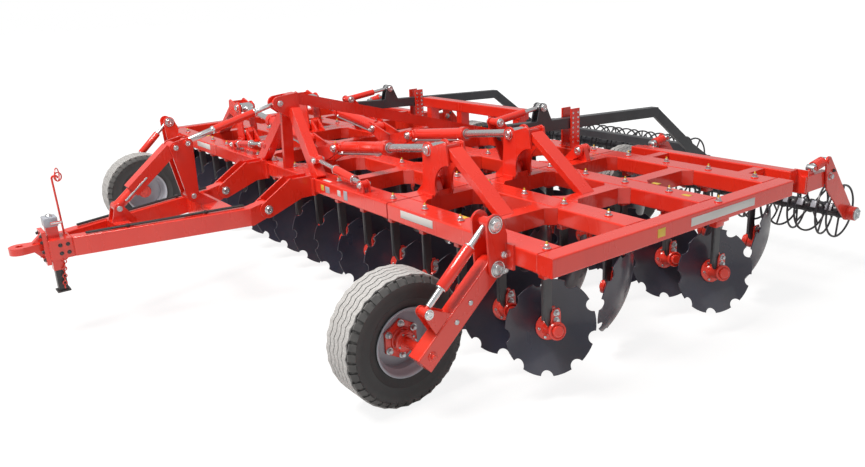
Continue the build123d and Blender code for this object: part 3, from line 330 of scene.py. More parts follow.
class Bench:
    def __init__(self):
        self.mesh = bmesh.new()

    def tube(self, start, end, radius, tip=None, sides=20, bevel=0.0):
        start, end = Vector(start), Vector(end)
        made = bmesh.ops.create_cone(self.mesh, cap_ends=True, segments=sides, radius1=radius,
                                     radius2=radius if tip is None else tip, depth=(end - start).length,
                                     matrix=facing((start + end) / 2, end - start))
        if bevel:
            rims = {edge for vert in made["verts"] for edge in vert.link_edges
                    if any(len(face.verts) > 4 for face in edge.link_faces)}
            bmesh.ops.bevel(self.mesh, geom=list(rims), offset=bevel, segments=2, affect="EDGES",
                            profile=0.5, material=-1)
        return self

    def block(self, low, high, bevel=0.003, turn=None):
        low, high = Vector(low), Vector(high)
        size = Matrix.Diagonal((high - low).to_4d())
        size[3][3] = 1
        place = Matrix.Translation((low + high) / 2) @ size
        made = bmesh.ops.create_cube(self.mesh, size=1, matrix=turn @ place if turn else place)
        edges = {edge for vert in made["verts"] for edge in vert.link_edges}
        if bevel:
            bmesh.ops.bevel(self.mesh, geom=list(edges), offset=bevel, segments=2, affect="EDGES",
                            profile=0.5, material=-1)
        return self

    def spun(self, points, place, way, steps=48):
        # points are (radius, distance along the axis); the ends of an open line lie on the axis
        turned = facing(place, way)
        verts = [self.mesh.verts.new(turned @ Vector((radius, 0, along))) for radius, along in points]
        edges = [self.mesh.edges.new(pair) for pair in zip(verts, verts[1:])]
        bmesh.ops.spin(self.mesh, geom=verts + edges, cent=place, axis=Vector(way).normalized(), angle=2 * pi,
                       steps=steps, use_merge=True)
        return self

    def sleeve(self, start, end, inner, outer, steps=32):
        # a collar with an open bore, so that a rod can slide through it
        way = end - start
        turned = facing(start, way)
        corners = [(inner, 0), (outer, 0), (outer, way.length), (inner, way.length)]
        verts = [self.mesh.verts.new(turned @ Vector((radius, 0, along))) for radius, along in corners]
        edges = [self.mesh.edges.new(pair) for pair in zip(verts, verts[1:] + verts[:1])]
        bmesh.ops.spin(self.mesh, geom=verts + edges, cent=start, axis=way.normalized(), angle=2 * pi,
                       steps=steps, use_merge=True)
        return self

    def ring(self, place, way, radius, wire, steps=40, sides=8):
        turned = facing(place, way)
        spot = turned @ Matrix.Translation((radius, 0, 0)) @ Matrix.Rotation(pi / 2, 4, "X")
        made = bmesh.ops.create_circle(self.mesh, segments=sides, radius=wire, matrix=spot)
        edges = {edge for vert in made["verts"] for edge in vert.link_edges}
        bmesh.ops.spin(self.mesh, geom=made["verts"] + list(edges), cent=place, axis=Vector(way).normalized(),
                       angle=2 * pi, steps=steps, use_merge=True)
        return self

    def bolt(self, place, way, across, high=None, washer=True):
        place, way = Vector(place), Vector(way).normalized()
        high = high or across * 0.6
        base = place
        if washer:
            base = place + way * across * 0.12
            self.tube(place, base, across * 0.85, sides=14)
        self.tube(base, base + way * high, across * 0.577, sides=6)
        crown = base + way * high
        self.tube(crown, base + way * (high + across * 0.10), across * 0.50, across * 0.38, sides=6)
        return self

    def plate(self, outline, along, up, origin, thick, bevel=0.002):
        # an outline of (along, up) points, raised by its thickness on its normal
        along, up, origin = Vector(along), Vector(up), Vector(origin)
        normal = along.cross(up).normalized()
        verts = [self.mesh.verts.new(origin + along * a + up * b - normal * thick / 2) for a, b in outline]
        face = self.mesh.faces.new(verts)
        made = bmesh.ops.extrude_face_region(self.mesh, geom=[face], use_keep_orig=True)
        raised = [item for item in made["geom"] if isinstance(item, bmesh.types.BMVert)]
        bmesh.ops.translate(self.mesh, vec=normal * thick, verts=raised)
        shell = {near for vert in verts + raised for near in vert.link_faces}
        bmesh.ops.recalc_face_normals(self.mesh, faces=list(shell))
        if bevel:
            edges = {edge for vert in verts + raised for edge in vert.link_edges}
            bmesh.ops.bevel(self.mesh, geom=list(edges), offset=bevel, segments=1, affect="EDGES",
                            profile=0.5, material=-1)
        return self

    def piece(self, name, body, finish, sharp=32, outward=False):
        mesh = self.mesh
        bmesh.ops.remove_doubles(mesh, verts=mesh.verts, dist=0.00002)
        if outward:
            bmesh.ops.recalc_face_normals(mesh, faces=mesh.faces)
        for face in mesh.faces:
            face.smooth = True
        for edge in mesh.edges:
            edge.smooth = len(edge.link_faces) == 2 and edge.calc_face_angle(0) < radians(sharp)
        data = bpy.data.meshes.new(name)
        mesh.to_mesh(data)
        mesh.free()
        data.materials.append(finish if isinstance(finish, bpy.types.Material) else materials[finish])
        made = bpy.data.objects.new(name, data)
        bpy.context.collection.objects.link(made)
        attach(made, body)
        return made


def spot(x, y, z):
    return Vector((x, frontY + y, z))


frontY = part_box("centre_cross_beams")[0].y
rowY = [0.095 + 0.712 * row for row in range(4)]
rowFirst = [3.0, 2.8125, 3.09375, 2.90625]
rowCount = [17, 16, 17, 17]
rowFacing = [1, -1, 1, -1]
bodyOf = {"centre": "centre_frame", "left": "wing_left", "right": "wing_right"}


def turnAbout(place, axis, angle):
    return Matrix.Translation(place) @ Matrix.Rotation(angle, 4, axis) @ Matrix.Translation(-place)


# wheels
wheel = {"radius": 0.400, "half": 0.135, "ribs": (-0.086, -0.043, 0, 0.043, 0.086), "ribWide": 0.0345,
         "ribDeep": 0.020, "ribSink": 0.011, "segments": 60, "skew": 17, "lugs": 40,
         "lugSize": (0.046, 0.040, 0.022), "lugPlace": (0.1190, 0.3680), "lugLean": 0.80,
         "bolts": 6, "boltCircle": 0.098}


def buildTyre(name, body, node, centre):
    bench = Bench()
    half = wheel["half"]
    side = [(0.199, 0.104), (0.232, 0.116), (0.262, 0.128), (0.266, 0.1315), (0.270, 0.1300), (0.308, half),
            (0.345, 0.132), (0.352, 0.1345), (0.358, 0.131), (0.374, 0.121), (0.381, 0.108), (0.384, 0.06)]
    line = [(radius, -along) for radius, along in side] + [(0.385, 0)] + side[::-1]
    bench.spun(line + [(0.196, 0.104), (0.196, -0.104), (0.199, -0.104)], centre, (1, 0, 0), 72)
    step = 2 * pi / wheel["segments"]
    for along in wheel["ribs"]:
        for index in range(wheel["segments"]):
            slant = radians(wheel["skew"]) * (1 if index % 2 else -1)
            place = Matrix.Translation(centre) @ Matrix.Rotation(step * index, 4, "X") @ \
                Matrix.Translation((along, 0, wheel["radius"] - wheel["ribSink"])) @ \
                Matrix.Rotation(slant, 4, "Z")
            size = Matrix.Diagonal((wheel["ribWide"], step * wheel["radius"] * 1.24, wheel["ribDeep"], 1))
            bmesh.ops.create_cube(bench.mesh, size=1, matrix=place @ size)
    lugAlong, lugHigh = wheel["lugPlace"]
    for index in range(wheel["lugs"]):
        for edge in (-1, 1):
            angle = 2 * pi * (index + (0.5 if edge > 0 else 0)) / wheel["lugs"]
            place = Matrix.Translation(centre) @ Matrix.Rotation(angle, 4, "X") @ \
                Matrix.Translation((edge * lugAlong, 0, lugHigh)) @ \
                Matrix.Rotation(edge * wheel["lugLean"], 4, "Y")
            size = Matrix.Diagonal((*wheel["lugSize"], 1))
            bmesh.ops.create_cube(bench.mesh, size=1, matrix=place @ size)
    made = bench.piece(name, body, tyreFinish(name + "Rubber", centre), 34, True)
    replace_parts(made, node)


def buildRim(name, body, node, centre, outward):
    way = Vector((outward, 0, 0))
    shell = Bench()
    lip = [(0.200, 0.100), (0.203, 0.110), (0.210, 0.114), (0.212, 0.121), (0.206, 0.126), (0.199, 0.122),
           (0.193, 0.112), (0.189, 0.092)]
    inner = [(radius, -along) for radius, along in lip]
    well = [(0.172, 0.070), (0.170, -0.020), (0.186, -0.040)]
    shell.spun(lip + well + inner[::-1] + [lip[0]], centre, way, 64)
    shell.spun([(0, 0.018), (0.100, 0.018), (0.128, 0.010), (0.150, 0.004), (0.172, 0.004), (0.172, 0.016),
                (0.150, 0.018), (0.126, 0.028), (0.096, 0.034), (0, 0.034)], centre, way, 48)
    made = shell.piece(name, body, "rimGrey", 30, True)
    if node:
        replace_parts(made, node)
    hub = Bench()
    hub.tube(centre + way * 0.030, centre + way * 0.050, 0.124, sides=6, bevel=0.003)
    hub.spun([(0, 0.046), (0.076, 0.046), (0.072, 0.060), (0.066, 0.064), (0.066, 0.092), (0.058, 0.100),
              (0.044, 0.102), (0.044, 0.110), (0, 0.110)], centre, way, 40)
    hub.spun([(0, -0.050), (0.060, -0.050), (0.066, -0.040), (0.066, 0.020), (0, 0.020)], centre, way, 32)
    hub.piece(name + "_hub", body, "redPaint", 30, True)
    bolts = Bench()
    for index in range(wheel["bolts"]):
        angle = 2 * pi * (index + 0.5) / wheel["bolts"]
        reach = Vector((0, cos(angle), sin(angle)))
        bolts.bolt(centre + way * 0.050 + reach * wheel["boltCircle"], way, 0.026, 0.018)
    for index in range(4):
        angle = 2 * pi * index / 4 + 0.4
        reach = Vector((0, cos(angle), sin(angle)))
        bolts.bolt(centre + way * 0.100 + reach * 0.052, way, 0.012, 0.006, False)
    bolts.tube(centre + way * 0.108, centre + way * 0.122, 0.022, 0.018, 16, 0.002)
    bolts.piece(name + "_bolts", body, "zincSteel", 30, True)


for word, side in sides.items():
    body = f"support_wheel_{word}"
    buildTyre(f"{word}_support_tyre", body, f"{word}_tyre", Vector(pivots[f"{body}_spin"]))
    buildRim(f"{word}_support_rim", body, f"{word}_rim", Vector(pivots[f"{body}_spin"]), side)
    body = f"transport_wheel_body_{word}"
    centre = Vector(pivots[f"transport_wheel_{word}_spin"])
    buildTyre(f"{word}_transport_tyre", body, f"transport_wheel_{word}", centre)
    buildRim(f"{word}_transport_rim", body, None, centre, -side)
print("wheels ready")

# stands
stand = {"hubZ": 0.430, "back": 0.050, "foot": 0.807, "yaw": 21, "tilt": 11, "thick": 0.025, "half": 0.030,
         "axisSteps": 22}
shankLine = [(0, 0), (0, -0.19), (0.0012, -0.24), (0.006, -0.2835), (0.022, -0.318), (0.050, -0.350)]
hubProfile = [(0, -0.0785), (0.074, -0.0785), (0.078, -0.075), (0.078, -0.067), (0.072, -0.062),
              (0.052, -0.055), (0.046, -0.047), (0.046, 0.036), (0.052, 0.041), (0.053, 0.058),
              (0.049, 0.063), (0.041, 0.063),
              (0.040, 0.057), (0.034, 0.057), (0.033, 0.072), (0.026, 0.077), (0, 0.077)]


def shankOutline():
    # both long edges of the bar, offset square to its middle line
    front, rear = [], []
    for index, (y, z) in enumerate(shankLine):
        before = Vector(shankLine[max(index - 1, 0)])
        after = Vector(shankLine[min(index + 1, len(shankLine) - 1)])
        along = (after - before).normalized()
        off = Vector((-along.y, along.x)) * stand["half"]
        front.append(Vector((y, z)) - off)
        rear.append(Vector((y, z)) + off)
    return [tuple(point) for point in front + rear[::-1]]


def discWay(facingSide):
    flat = cos(radians(stand["tilt"]))
    return Vector((facingSide * cos(radians(stand["yaw"])) * flat, -sin(radians(stand["yaw"])) * flat,
                   sin(radians(stand["tilt"]))))


def placesOf(group):
    for row in range(4):
        for index in range(rowCount[row]):
            x = rowFirst[row] - 0.375 * index
            where = "centre" if abs(x) < 1.583 else "left" if x > 0 else "right"
            if where == group:
                yield row, x


outlineOfShank = shankOutline()
for group, body in bodyOf.items():
    shanks, hubs, bolts, caps = Bench(), Bench(), Bench(), Bench()
    for row, x in placesOf(group):
        y = rowY[row]
        top = spot(x, y, stand["foot"])
        shanks.plate(outlineOfShank, (0, 1, 0), (0, 0, 1), top, stand["thick"], 0.004)
        shanks.block(top + Vector((-0.009, -0.034, -0.30)), top + Vector((0.009, -0.026, -0.02)), 0)
        centre = spot(x, y + stand["back"], stand["hubZ"])
        way = discWay(rowFacing[row])
        hubs.spun(hubProfile, centre, way, stand["axisSteps"])
        hubs.block(top + Vector((-0.045, -0.065, -0.016)), top + Vector((0.045, 0.065, 0.004)), 0.003)
        hubs.block(top + Vector((-0.026, -0.042, -0.050)), top + Vector((0.026, 0.042, -0.014)), 0.004)
        for edge in (-1, 1):
            ear = [(-0.040, -0.010), (0.040, -0.010), (0.037, 0.100), (0.026, 0.131), (-0.022, 0.131),
                   (-0.036, 0.112)]
            hubs.plate(ear, (0, 1, 0), (0, 0, 1), centre + Vector((edge * 0.0185, 0, 0)), 0.012, 0.003)
            for high in (0.066, 0.110):
                bolts.bolt(centre + Vector((edge * 0.0245, -0.004, high)), (edge, 0, 0), 0.024, 0.015)
        for index in range(6):
            turn = facing(centre + way * -0.062, way)
            angle = 2 * pi * index / 6
            head = turn @ Vector((0.063 * cos(angle), 0.063 * sin(angle), 0))
            bolts.tube(head, head + way * 0.011, 0.0085, sides=6)
        crest = spot(x, y, 0.920)
        hubs.tube(crest - Vector((0, 0, 0.002)), crest + Vector((0, 0, 0.006)), 0.026, sides=18, bevel=0.002)
        bolts.bolt(crest + Vector((0, 0, 0.005)), (0, 0, 1), 0.027, 0.018)
        caps.tube(crest + Vector((0, 0, 0.024)), crest + Vector((0, 0, 0.044)), 0.008, 0.005, 8)
    node = f"{group}_stands"
    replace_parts(shanks.piece(f"{group}_shanks", body, "graphitePaint", 30, True), node)
    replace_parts(hubs.piece(f"{group}_hubs", body, "redPaint", 30, True), node)
    bolts.piece(f"{group}_stand_bolts", body, "zincSteel", 30, True)
    caps.piece(f"{group}_nipple_caps", body, "yellowCap", 30, True)
print("stands ready")

# ring rollers
ringLook = {"wire": 0.0085, "reach": 0.2065, "tilt": 8, "pitch": 0.115, "core": 0.050, "collar": 0.006,
            "axle": 0.0245, "spokes": 4, "spokeWire": 0.0075}


def buildRoller(name, body, node, centre, low, high, reachOut):
    bench = Bench()
    pitch, core = ringLook["pitch"], ringLook["core"]
    count = int((high - low - 0.018) / pitch) + 1
    first = (low + high - (count - 1) * pitch) / 2
    bench.tube((low + 0.002, centre.y, centre.z), (high - 0.002, centre.y, centre.z), core,
               sides=32, bevel=0.003)
    bench.tube((low - reachOut[0], centre.y, centre.z), (high + reachOut[1], centre.y, centre.z),
               ringLook["axle"], sides=20)
    for index in range(count):
        x = first + pitch * index
        lean = radians(ringLook["tilt"]) * (1 if index % 2 else -1)
        middle = Vector((x, centre.y, centre.z))
        way = Matrix.Rotation(lean, 3, "Z") @ Vector((1, 0, 0))
        if index in (0, count - 1):
            way = Vector((1, 0, 0))
        bench.ring(middle, way, ringLook["reach"], ringLook["wire"], 44, 6)
        across = way.orthogonal().normalized()
        for arm in range(ringLook["spokes"]):
            reach = Matrix.Rotation(2 * pi * arm / ringLook["spokes"] + index * pi / 7, 3, way) @ across
            bench.tube(middle + reach * (core - 0.004), middle + reach * ringLook["reach"],
                       ringLook["spokeWire"], sides=6)
        bench.tube(middle - Vector((0.010, 0, 0)), middle + Vector((0.010, 0, 0)),
                   core + ringLook["collar"], sides=24)
    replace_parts(bench.piece(name, body, "rollerBlack", 30, True), node)


for word, side in sides.items():
    pivot = pivots[f"wing_roller_{word}_spin"]
    low, high = sorted((side * 1.610, side * 3.060))
    outs = (0.058, 0.088) if side > 0 else (0.088, 0.058)
    buildRoller(f"{word}_ring_roller", f"wing_roller_{word}", f"{word}_roller_cage", Vector(pivot),
                low, high, outs)
pivot = Vector(pivots["rear_roller_spin"])
buildRoller("centre_ring_roller", "rear_roller", "centre_roller", pivot, -1.100, 1.100, (0.115, 0.115))

rollerCap = [(0, 0), (0.046, 0), (0.047, 0.006), (0.041, 0.012), (0.022, 0.013), (0.020, 0.022), (0, 0.022)]
springLook = {"coils": 8, "radius": 0.034, "wire": 0.0065, "foot": (2.738, 0.922), "head": (2.905, 0.950)}
clampCount = 12
for word, side in sides.items():
    body = f"wing_{word}"
    bars, plates, bright, dark = Bench(), Bench(), Bench(), Bench()
    axis = Vector(pivots[f"wing_roller_{word}_spin"])
    for end, away in ((3.080, 1), (1.590, -1)):
        away *= side
        x = side * end
        armX = x - away * 0.037
        foot, head = spot(armX, *springLook["foot"]), spot(armX, *springLook["head"])
        for index in range(springLook["coils"]):
            middle = foot.lerp(head, 0.20 + index * 0.60 / (springLook["coils"] - 1))
            bars.ring(middle, head - foot, springLook["radius"], springLook["wire"], 24, 6)
        for place in (foot, head):
            bright.tube(place - Vector((0.030, 0, 0)), place + Vector((0.030, 0, 0)), 0.027,
                        sides=20, bevel=0.003)
            bars.tube(place - Vector((0.034, 0, 0)), place + Vector((0.034, 0, 0)), 0.014, sides=12)
        bright.tube(foot.lerp(head, 0.10), foot.lerp(head, 0.20), 0.030, sides=20, bevel=0.003)
        bright.tube(foot.lerp(head, 0.80), foot.lerp(head, 0.88), 0.028, sides=20, bevel=0.003)
        hubOut = x + away * (0.070 if end > 3 else 0.040)
        cap = Vector((hubOut, axis.y, axis.z))
        bars.tube(cap - Vector((away * 0.052, 0, 0)), cap - Vector((away * 0.002, 0, 0)), 0.058, 0.050,
                  28, 0.003)
        bright.spun(rollerCap, cap, (away, 0, 0), 28)
        for index in range(4):
            reach = Vector((0, cos(index * pi / 2 + 0.6), sin(index * pi / 2 + 0.6)))
            bright.bolt(cap + reach * 0.034 + Vector((away * 0.010, 0, 0)), (away, 0, 0), 0.013, 0.007, False)
        bright.bolt(spot(x + away * 0.006, 2.937, 0.833), (away, 0, 0), 0.034, 0.020)
        dark.bolt(spot(x + away * 0.006, 2.985, 0.868), (away, 0, 0), 0.018, 0.012)
    for index in range(clampCount):
        x = side * (1.700 + index * ringLook["pitch"])
        turn = turnAbout(Vector((x, axis.y - 0.058, axis.z + 0.040)), "X", -0.5)
        plates.block((x - 0.026, axis.y - 0.064, axis.z + 0.005), (x + 0.026, axis.y - 0.054, axis.z + 0.062),
                     0.003, turn)
    bars.piece(f"{word}_roller_fittings", body, "redPaint", 30, True)
    bright.piece(f"{word}_roller_bright", body, "zincSteel", 30, True)
    dark.piece(f"{word}_roller_dark_bolts", body, "graphitePaint", 30, True)
    plates.piece(f"{word}_roller_clamps", f"wing_roller_{word}", "rimGrey", 30, True)
print("rollers ready")


# pins, washers and bolts on the linkages
def pinHead(bench, place, way, radius, high=0.014):
    bench.spun([(0, -0.002), (radius * 1.32, -0.002), (radius * 1.34, 0.003), (radius * 1.30, 0.006),
                (radius, 0.006), (radius, high), (radius * 0.88, high + 0.004), (radius * 0.45, high + 0.004),
                (radius * 0.40, high + 0.001), (0, high + 0.001)], place, way, 24)


# stations lie along the cylinder from its base pin, as (start, end) pairs
foldY = [0.385, 1.130]
foldCylinder = {"base": (0.290, 1.080), "tip": (1.640, 1.250), "baseCollar": (0.040, 0.090),
                "mouthCollar": (0.698, 0.756), "gland": (0.7535, 0.7625), "rim": 0.690, "pipeStart": 0.100,
                "collarBore": 0.045, "glandBore": 0.0335, "pipe": 0.0075}
for word, side in sides.items():
    wing, base, rods, barrels = Bench(), Bench(), Bench(), Bench()
    ends = Vector(foldCylinder["base"]), Vector(foldCylinder["tip"])
    way = (ends[1] - ends[0]).normalized()
    for y in foldY:
        for edge in (-1, 1):
            pinHead(wing, spot(side * ends[1].x, y + edge * 0.0800, ends[1].y), (0, edge, 0), 0.031, 0.018)
            pinHead(base, spot(side * ends[0].x, y + edge * 0.0675, ends[0].y), (0, edge, 0), 0.026, 0.018)
        baseStart, baseEnd, mouthStart, mouthEnd, glandStart, glandEnd, rim, pipeStart = (
            spot(side * (ends[0] + way * far).x, y, (ends[0] + way * far).y) for far in
            (*foldCylinder["baseCollar"], *foldCylinder["mouthCollar"], *foldCylinder["gland"],
             foldCylinder["rim"], foldCylinder["pipeStart"]))
        barrels.sleeve(mouthStart, mouthEnd, foldCylinder["collarBore"], 0.058)
        barrels.sleeve(baseStart, baseEnd, foldCylinder["collarBore"], 0.054)
        barrels.ring(rim, mouthStart - rim, 0.050, 0.004, 32, 6)
        rods.sleeve(glandStart, glandEnd, foldCylinder["glandBore"], 0.040)
        # pressure pipes under the barrel, with their unions
        for edge in (-1, 1):
            rise = Vector((0, edge * 0.046, -0.044))
            start, end = pipeStart + rise, mouthStart + rise
            rods.tube(start, end, foldCylinder["pipe"], sides=10)
            for place in (start, end):
                rods.tube(place, place - rise * 0.45, 0.0085, sides=10)
                rods.tube(place - rise * 0.30, place - rise * 0.10, 0.013, sides=6)
            rods.tube(start, start - (end - start).normalized() * 0.05, 0.012, sides=6)
    wing.piece(f"{word}_mast_pins", f"wing_{word}", "platedSteel", 30, True)
    base.piece(f"{word}_bracket_pins", "centre_frame", "platedSteel", 30, True)
    barrels.piece(f"{word}_barrel_rings", f"fold_barrel_pair_{word}", "redPaint", 30, True)
    rods.piece(f"{word}_barrel_pipes", f"fold_barrel_pair_{word}", "zincSteel", 30, True)

for word, side in sides.items():
    pins, arm, red, plugs = Bench(), Bench(), Bench(), Bench()
    for edge in (-1, 1):
        face = side * 2.720 + edge * 0.071
        for place in ((-0.079, 0.794), (-0.090, 1.052)):
            centre = spot(face, *place)
            pinHead(pins, centre, (edge, 0, 0), 0.030, 0.016)
            pins.ring(centre + Vector((edge * 0.004, 0, 0)), (edge, 0, 0), 0.046, 0.004, 28, 6)
        for place in ((-0.028, 0.776), (-0.028, 0.866)):
            pins.bolt(spot(face, *place), (edge, 0, 0), 0.026, 0.016)
        lug = spot(side * 2.720 + edge * 0.042, -0.539, 0.644)
        pinHead(arm, lug, (edge, 0, 0), 0.022, 0.012)
    upper, lower = spot(side * 2.720, -0.090, 1.052), spot(side * 2.720, -0.539, 0.644)
    arm.tube(upper.lerp(lower, 0.05), upper.lerp(lower, 0.30), 0.0185, sides=20)
    arm.tube(upper.lerp(lower, 0.72), upper.lerp(lower, 0.94), 0.0185, sides=20)
    arm.tube(upper.lerp(lower, 0.27), upper.lerp(lower, 0.285), 0.031, sides=24, bevel=0.002)
    arm.tube(upper.lerp(lower, 0.735), upper.lerp(lower, 0.75), 0.031, sides=24, bevel=0.002)
    red.tube(upper.lerp(lower, 0.285), upper.lerp(lower, 0.735), 0.035, sides=28, bevel=0.003)
    hinge, axle = spot(side * 2.720, -0.079, 0.794), Vector(pivots[f"support_wheel_{word}_spin"])
    axle.x = hinge.x
    for share in (0.40, 0.62):
        for edge in (-1, 1):
            place = hinge.lerp(axle, share) + Vector((edge * 0.050, 0, 0))
            plugs.tube(place, place + Vector((edge * 0.006, 0, 0)), 0.016, 0.014, 18, 0.001)
    nut = Vector(pivots[f"support_wheel_{word}_spin"])
    nut.x = side * 2.770
    red.tube(nut - Vector((side * 0.004, 0, 0)), nut + Vector((side * 0.006, 0, 0)), 0.030, 0.028, 24, 0.002)
    red.bolt(nut + Vector((side * 0.004, 0, 0)), (side, 0, 0), 0.028, 0.012)
    pins.piece(f"{word}_wheel_bracket_pins", f"wing_{word}", "platedSteel", 30, True)
    arm.piece(f"{word}_depth_rod", f"wing_{word}", "platedSteel", 30, True)
    red.piece(f"{word}_depth_barrel", f"wing_{word}", "redPaint", 30, True)
    plugs.piece(f"{word}_arm_plugs", f"wing_{word}", "zincSteel", 30, True)

frameSteel, drawSteel, rockSteel, leverSteel, headBolts = Bench(), Bench(), Bench(), Bench(), Bench()
screwEnds = {"y": 0.055, "near": (0.505, 1.060), "far": (1.180, 0.975)}
for side in (-1, 1):
    for edge in (-1, 1):
        pinHead(frameSteel, spot(side * 0.430 + edge * 0.071, -0.400, 0.745), (edge, 0, 0), 0.026, 0.020)
        for place in ((1.420, 1.130), (1.330, 1.256)):
            pinHead(frameSteel, spot(side * 1.165 + edge * 0.061, *place), (edge, 0, 0), 0.026, 0.016)
        pinHead(leverSteel, spot(side * 1.165 + edge * 0.045, 1.830, 1.315), (edge, 0, 0), 0.026, 0.012)
        for mid in (0.385, 1.130, 1.875):
            pinHead(frameSteel, spot(side * 1.600, mid + edge * 0.052, 1.000), (0, edge, 0), 0.026, 0.012)
        for y in (2.165, 2.225):
            for index in range(7):
                z = 0.975 + index * 0.042
                frameSteel.tube(spot(side * 1.165 + edge * 0.0605, y, z),
                                spot(side * 1.165 + edge * 0.0625, y, z), 0.010, sides=14)
    near, far = (spot(side * x, screwEnds["y"], z) for x, z in (screwEnds["near"], screwEnds["far"]))
    for place in (near, far):
        for edge in (-1, 1):
            pinHead(frameSteel, place + Vector((0, edge * 0.036, 0)), (0, edge, 0), 0.018, 0.012)
    frameSteel.tube(near.lerp(far, 0.06), near.lerp(far, 0.41), 0.0165, sides=18)
    frameSteel.tube(near.lerp(far, 0.80), near.lerp(far, 0.94), 0.0165, sides=18)
    for share in (0.40, 0.80):
        frameSteel.tube(near.lerp(far, share), near.lerp(far, share + 0.018), 0.036, sides=24, bevel=0.003)
for edge in (-1, 1):
    pinHead(frameSteel, spot(edge * 0.067, -0.012, 1.473), (edge, 0, 0), 0.019, 0.012)
    pinHead(drawSteel, spot(edge * 0.073, -1.375, 0.867), (edge, 0, 0), 0.016, 0.010)
    for place in ((-0.810, 1.270), (-0.906, 1.250)):
        pinHead(rockSteel, spot(edge * 0.090, *place), (edge, 0, 0), 0.015, 0.009)
    pinHead(rockSteel, spot(edge * 0.091, -0.823, 0.861), (edge, 0, 0), 0.016, 0.009)
    for y in (-1.770, -1.820):
        for z in (0.640, 0.700):
            headBolts.bolt(spot(edge * 0.118, y, z), (edge, 0, 0), 0.017, 0.010)
    for z in (0.600, 0.660, 0.730, 0.775):
        headBolts.bolt(spot(edge * 0.062, -1.920, z), (0, -1, 0), 0.019, 0.011)
frameSteel.piece("frame_pins", "centre_frame", "platedSteel", 30, True)
drawSteel.piece("drawbar_pins", "drawbar", "zincSteel", 30, True)
headBolts.piece("hitch_head_bolts", "drawbar", "jackBlack", 30, True)
rockSteel.piece("rocker_pins", "rocker_body", "platedSteel", 30, True)
leverSteel.piece("lever_pins", "roller_lift", "platedSteel", 30, True)

link = Bench()
linkStart, linkEnd = spot(0, -0.012, 1.473), spot(0, -0.810, 1.270)
for low, high, radius in ((0.045, 0.245, 0.0185), (0.235, 0.262, 0.031), (0.690, 0.712, 0.031),
                          (0.712, 0.955, 0.0235)):
    link.tube(linkStart.lerp(linkEnd, low), linkStart.lerp(linkEnd, high), radius, sides=24, bevel=0.002)
link.piece("top_link_rods", "top_link_body", "platedSteel", 30, True)
lift = Bench()
liftStart, liftEnd = spot(0, -1.375, 0.867), spot(0, -0.906, 1.250)
lift.tube(liftStart.lerp(liftEnd, 0.535), liftStart.lerp(liftEnd, 0.552), 0.042, sides=28, bevel=0.003)
beside = Vector((0.052, 0, 0))
lift.tube(liftStart.lerp(liftEnd, 0.12) + beside, liftStart.lerp(liftEnd, 0.50) + beside, 0.007, sides=10)
lift.piece("lift_barrel_bright", "lift_barrel_body", "zincSteel", 30, True)
print("linkages ready")

# jack head with its crank
crank, jackBox = Bench(), Bench()
crown = spot(0, -1.840, 0.889)
jackBox.block(crown + Vector((-0.052, -0.046, -0.066)), crown + Vector((0.052, 0.046, 0.004)), 0.008)
crank.tube(crown + Vector((0.050, 0, -0.030)), crown + Vector((0.094, 0, -0.030)), 0.011, sides=16)
crank.tube(crown + Vector((0.091, -0.010, -0.030)), crown + Vector((0.091, 0.062, -0.030)), 0.008, sides=12)
crank.spun([(0, 0), (0.022, 0), (0.024, 0.008), (0.016, 0.016), (0, 0.017)],
           crown + Vector((0, 0, 0.003)), (0, 0, 1), 24)
for high in (0.56, 0.66, 0.76):
    crank.bolt(spot(0, -1.878, high), (0, -1, 0), 0.018, 0.010)
crank.piece("jack_crank", "drawbar", "platedSteel", 30, True)
jackBox.piece("jack_crown", "drawbar", "rimGrey", 30, True)

# blank plates where the machine carries its markings
frontFace = (-0.0015, 0.001)
blankPlates = (
    ("wing_blank_plate", "wing_left", "blankPlate", [((1.725, 2.085), frontFace, (0.852, 0.904))]),
    ("far_wing_blank_plate", "wing_right", "blankPlate", [((-2.085, -1.725), frontFace, (0.852, 0.904))]),
    ("outer_blank_plate", "wing_left", "blankPlate", [((3.139, 3.1415), (1.18, 1.86), (0.838, 0.892))]),
    ("white_blank_plates", "centre_frame", "blankPlate", [
        ((0.878, 0.925), frontFace, (0.847, 0.892)), ((0.612, 0.722), (0.024, 0.050), (0.9195, 0.9215))]),
    ("grey_blank_plates", "centre_frame", "rimGrey", [
        ((0.970, 1.025), frontFace, (0.832, 0.904)), ((0.690, 0.756), frontFace, (0.840, 0.890))]),
    ("yellow_blank_plate", "centre_frame", "yellowCap", [((0.622, 0.668), frontFace, (0.848, 0.892))]))
for name, body, finish, blocks in blankPlates:
    plate = Bench()
    for acrossX, acrossY, acrossZ in blocks:
        low, high = (spot(*corner) for corner in zip(acrossX, acrossY, acrossZ))
        plate.block(low, high, 0.0005)
    plate.piece(name, body, finish, 30, True)
print("plates ready")

# hydraulic lines clipped along the two arms of the drawbar
heldLines = {"radius": 0.0065, "clipEvery": 0.45, "clipHalf": 1.5, "apart": 0.022,
             "rear": (0.410, -0.560, 0.792), "front": (0.148, -1.640, 0.760)}


def heldLine(bench, clips, start, end):
    radius = heldLines["radius"]
    bench.tube(start, end, radius, sides=10)
    for place in (start, end):
        bmesh.ops.create_icosphere(bench.mesh, subdivisions=2, radius=radius * 1.02,
                                   matrix=Matrix.Translation(place))
    count = int((end - start).length / heldLines["clipEvery"])
    half = Vector([radius * heldLines["clipHalf"]] * 3)
    for index in range(count):
        place = start.lerp(end, (index + 0.5) / count)
        clips.block(place - half, place + half, 0.002)


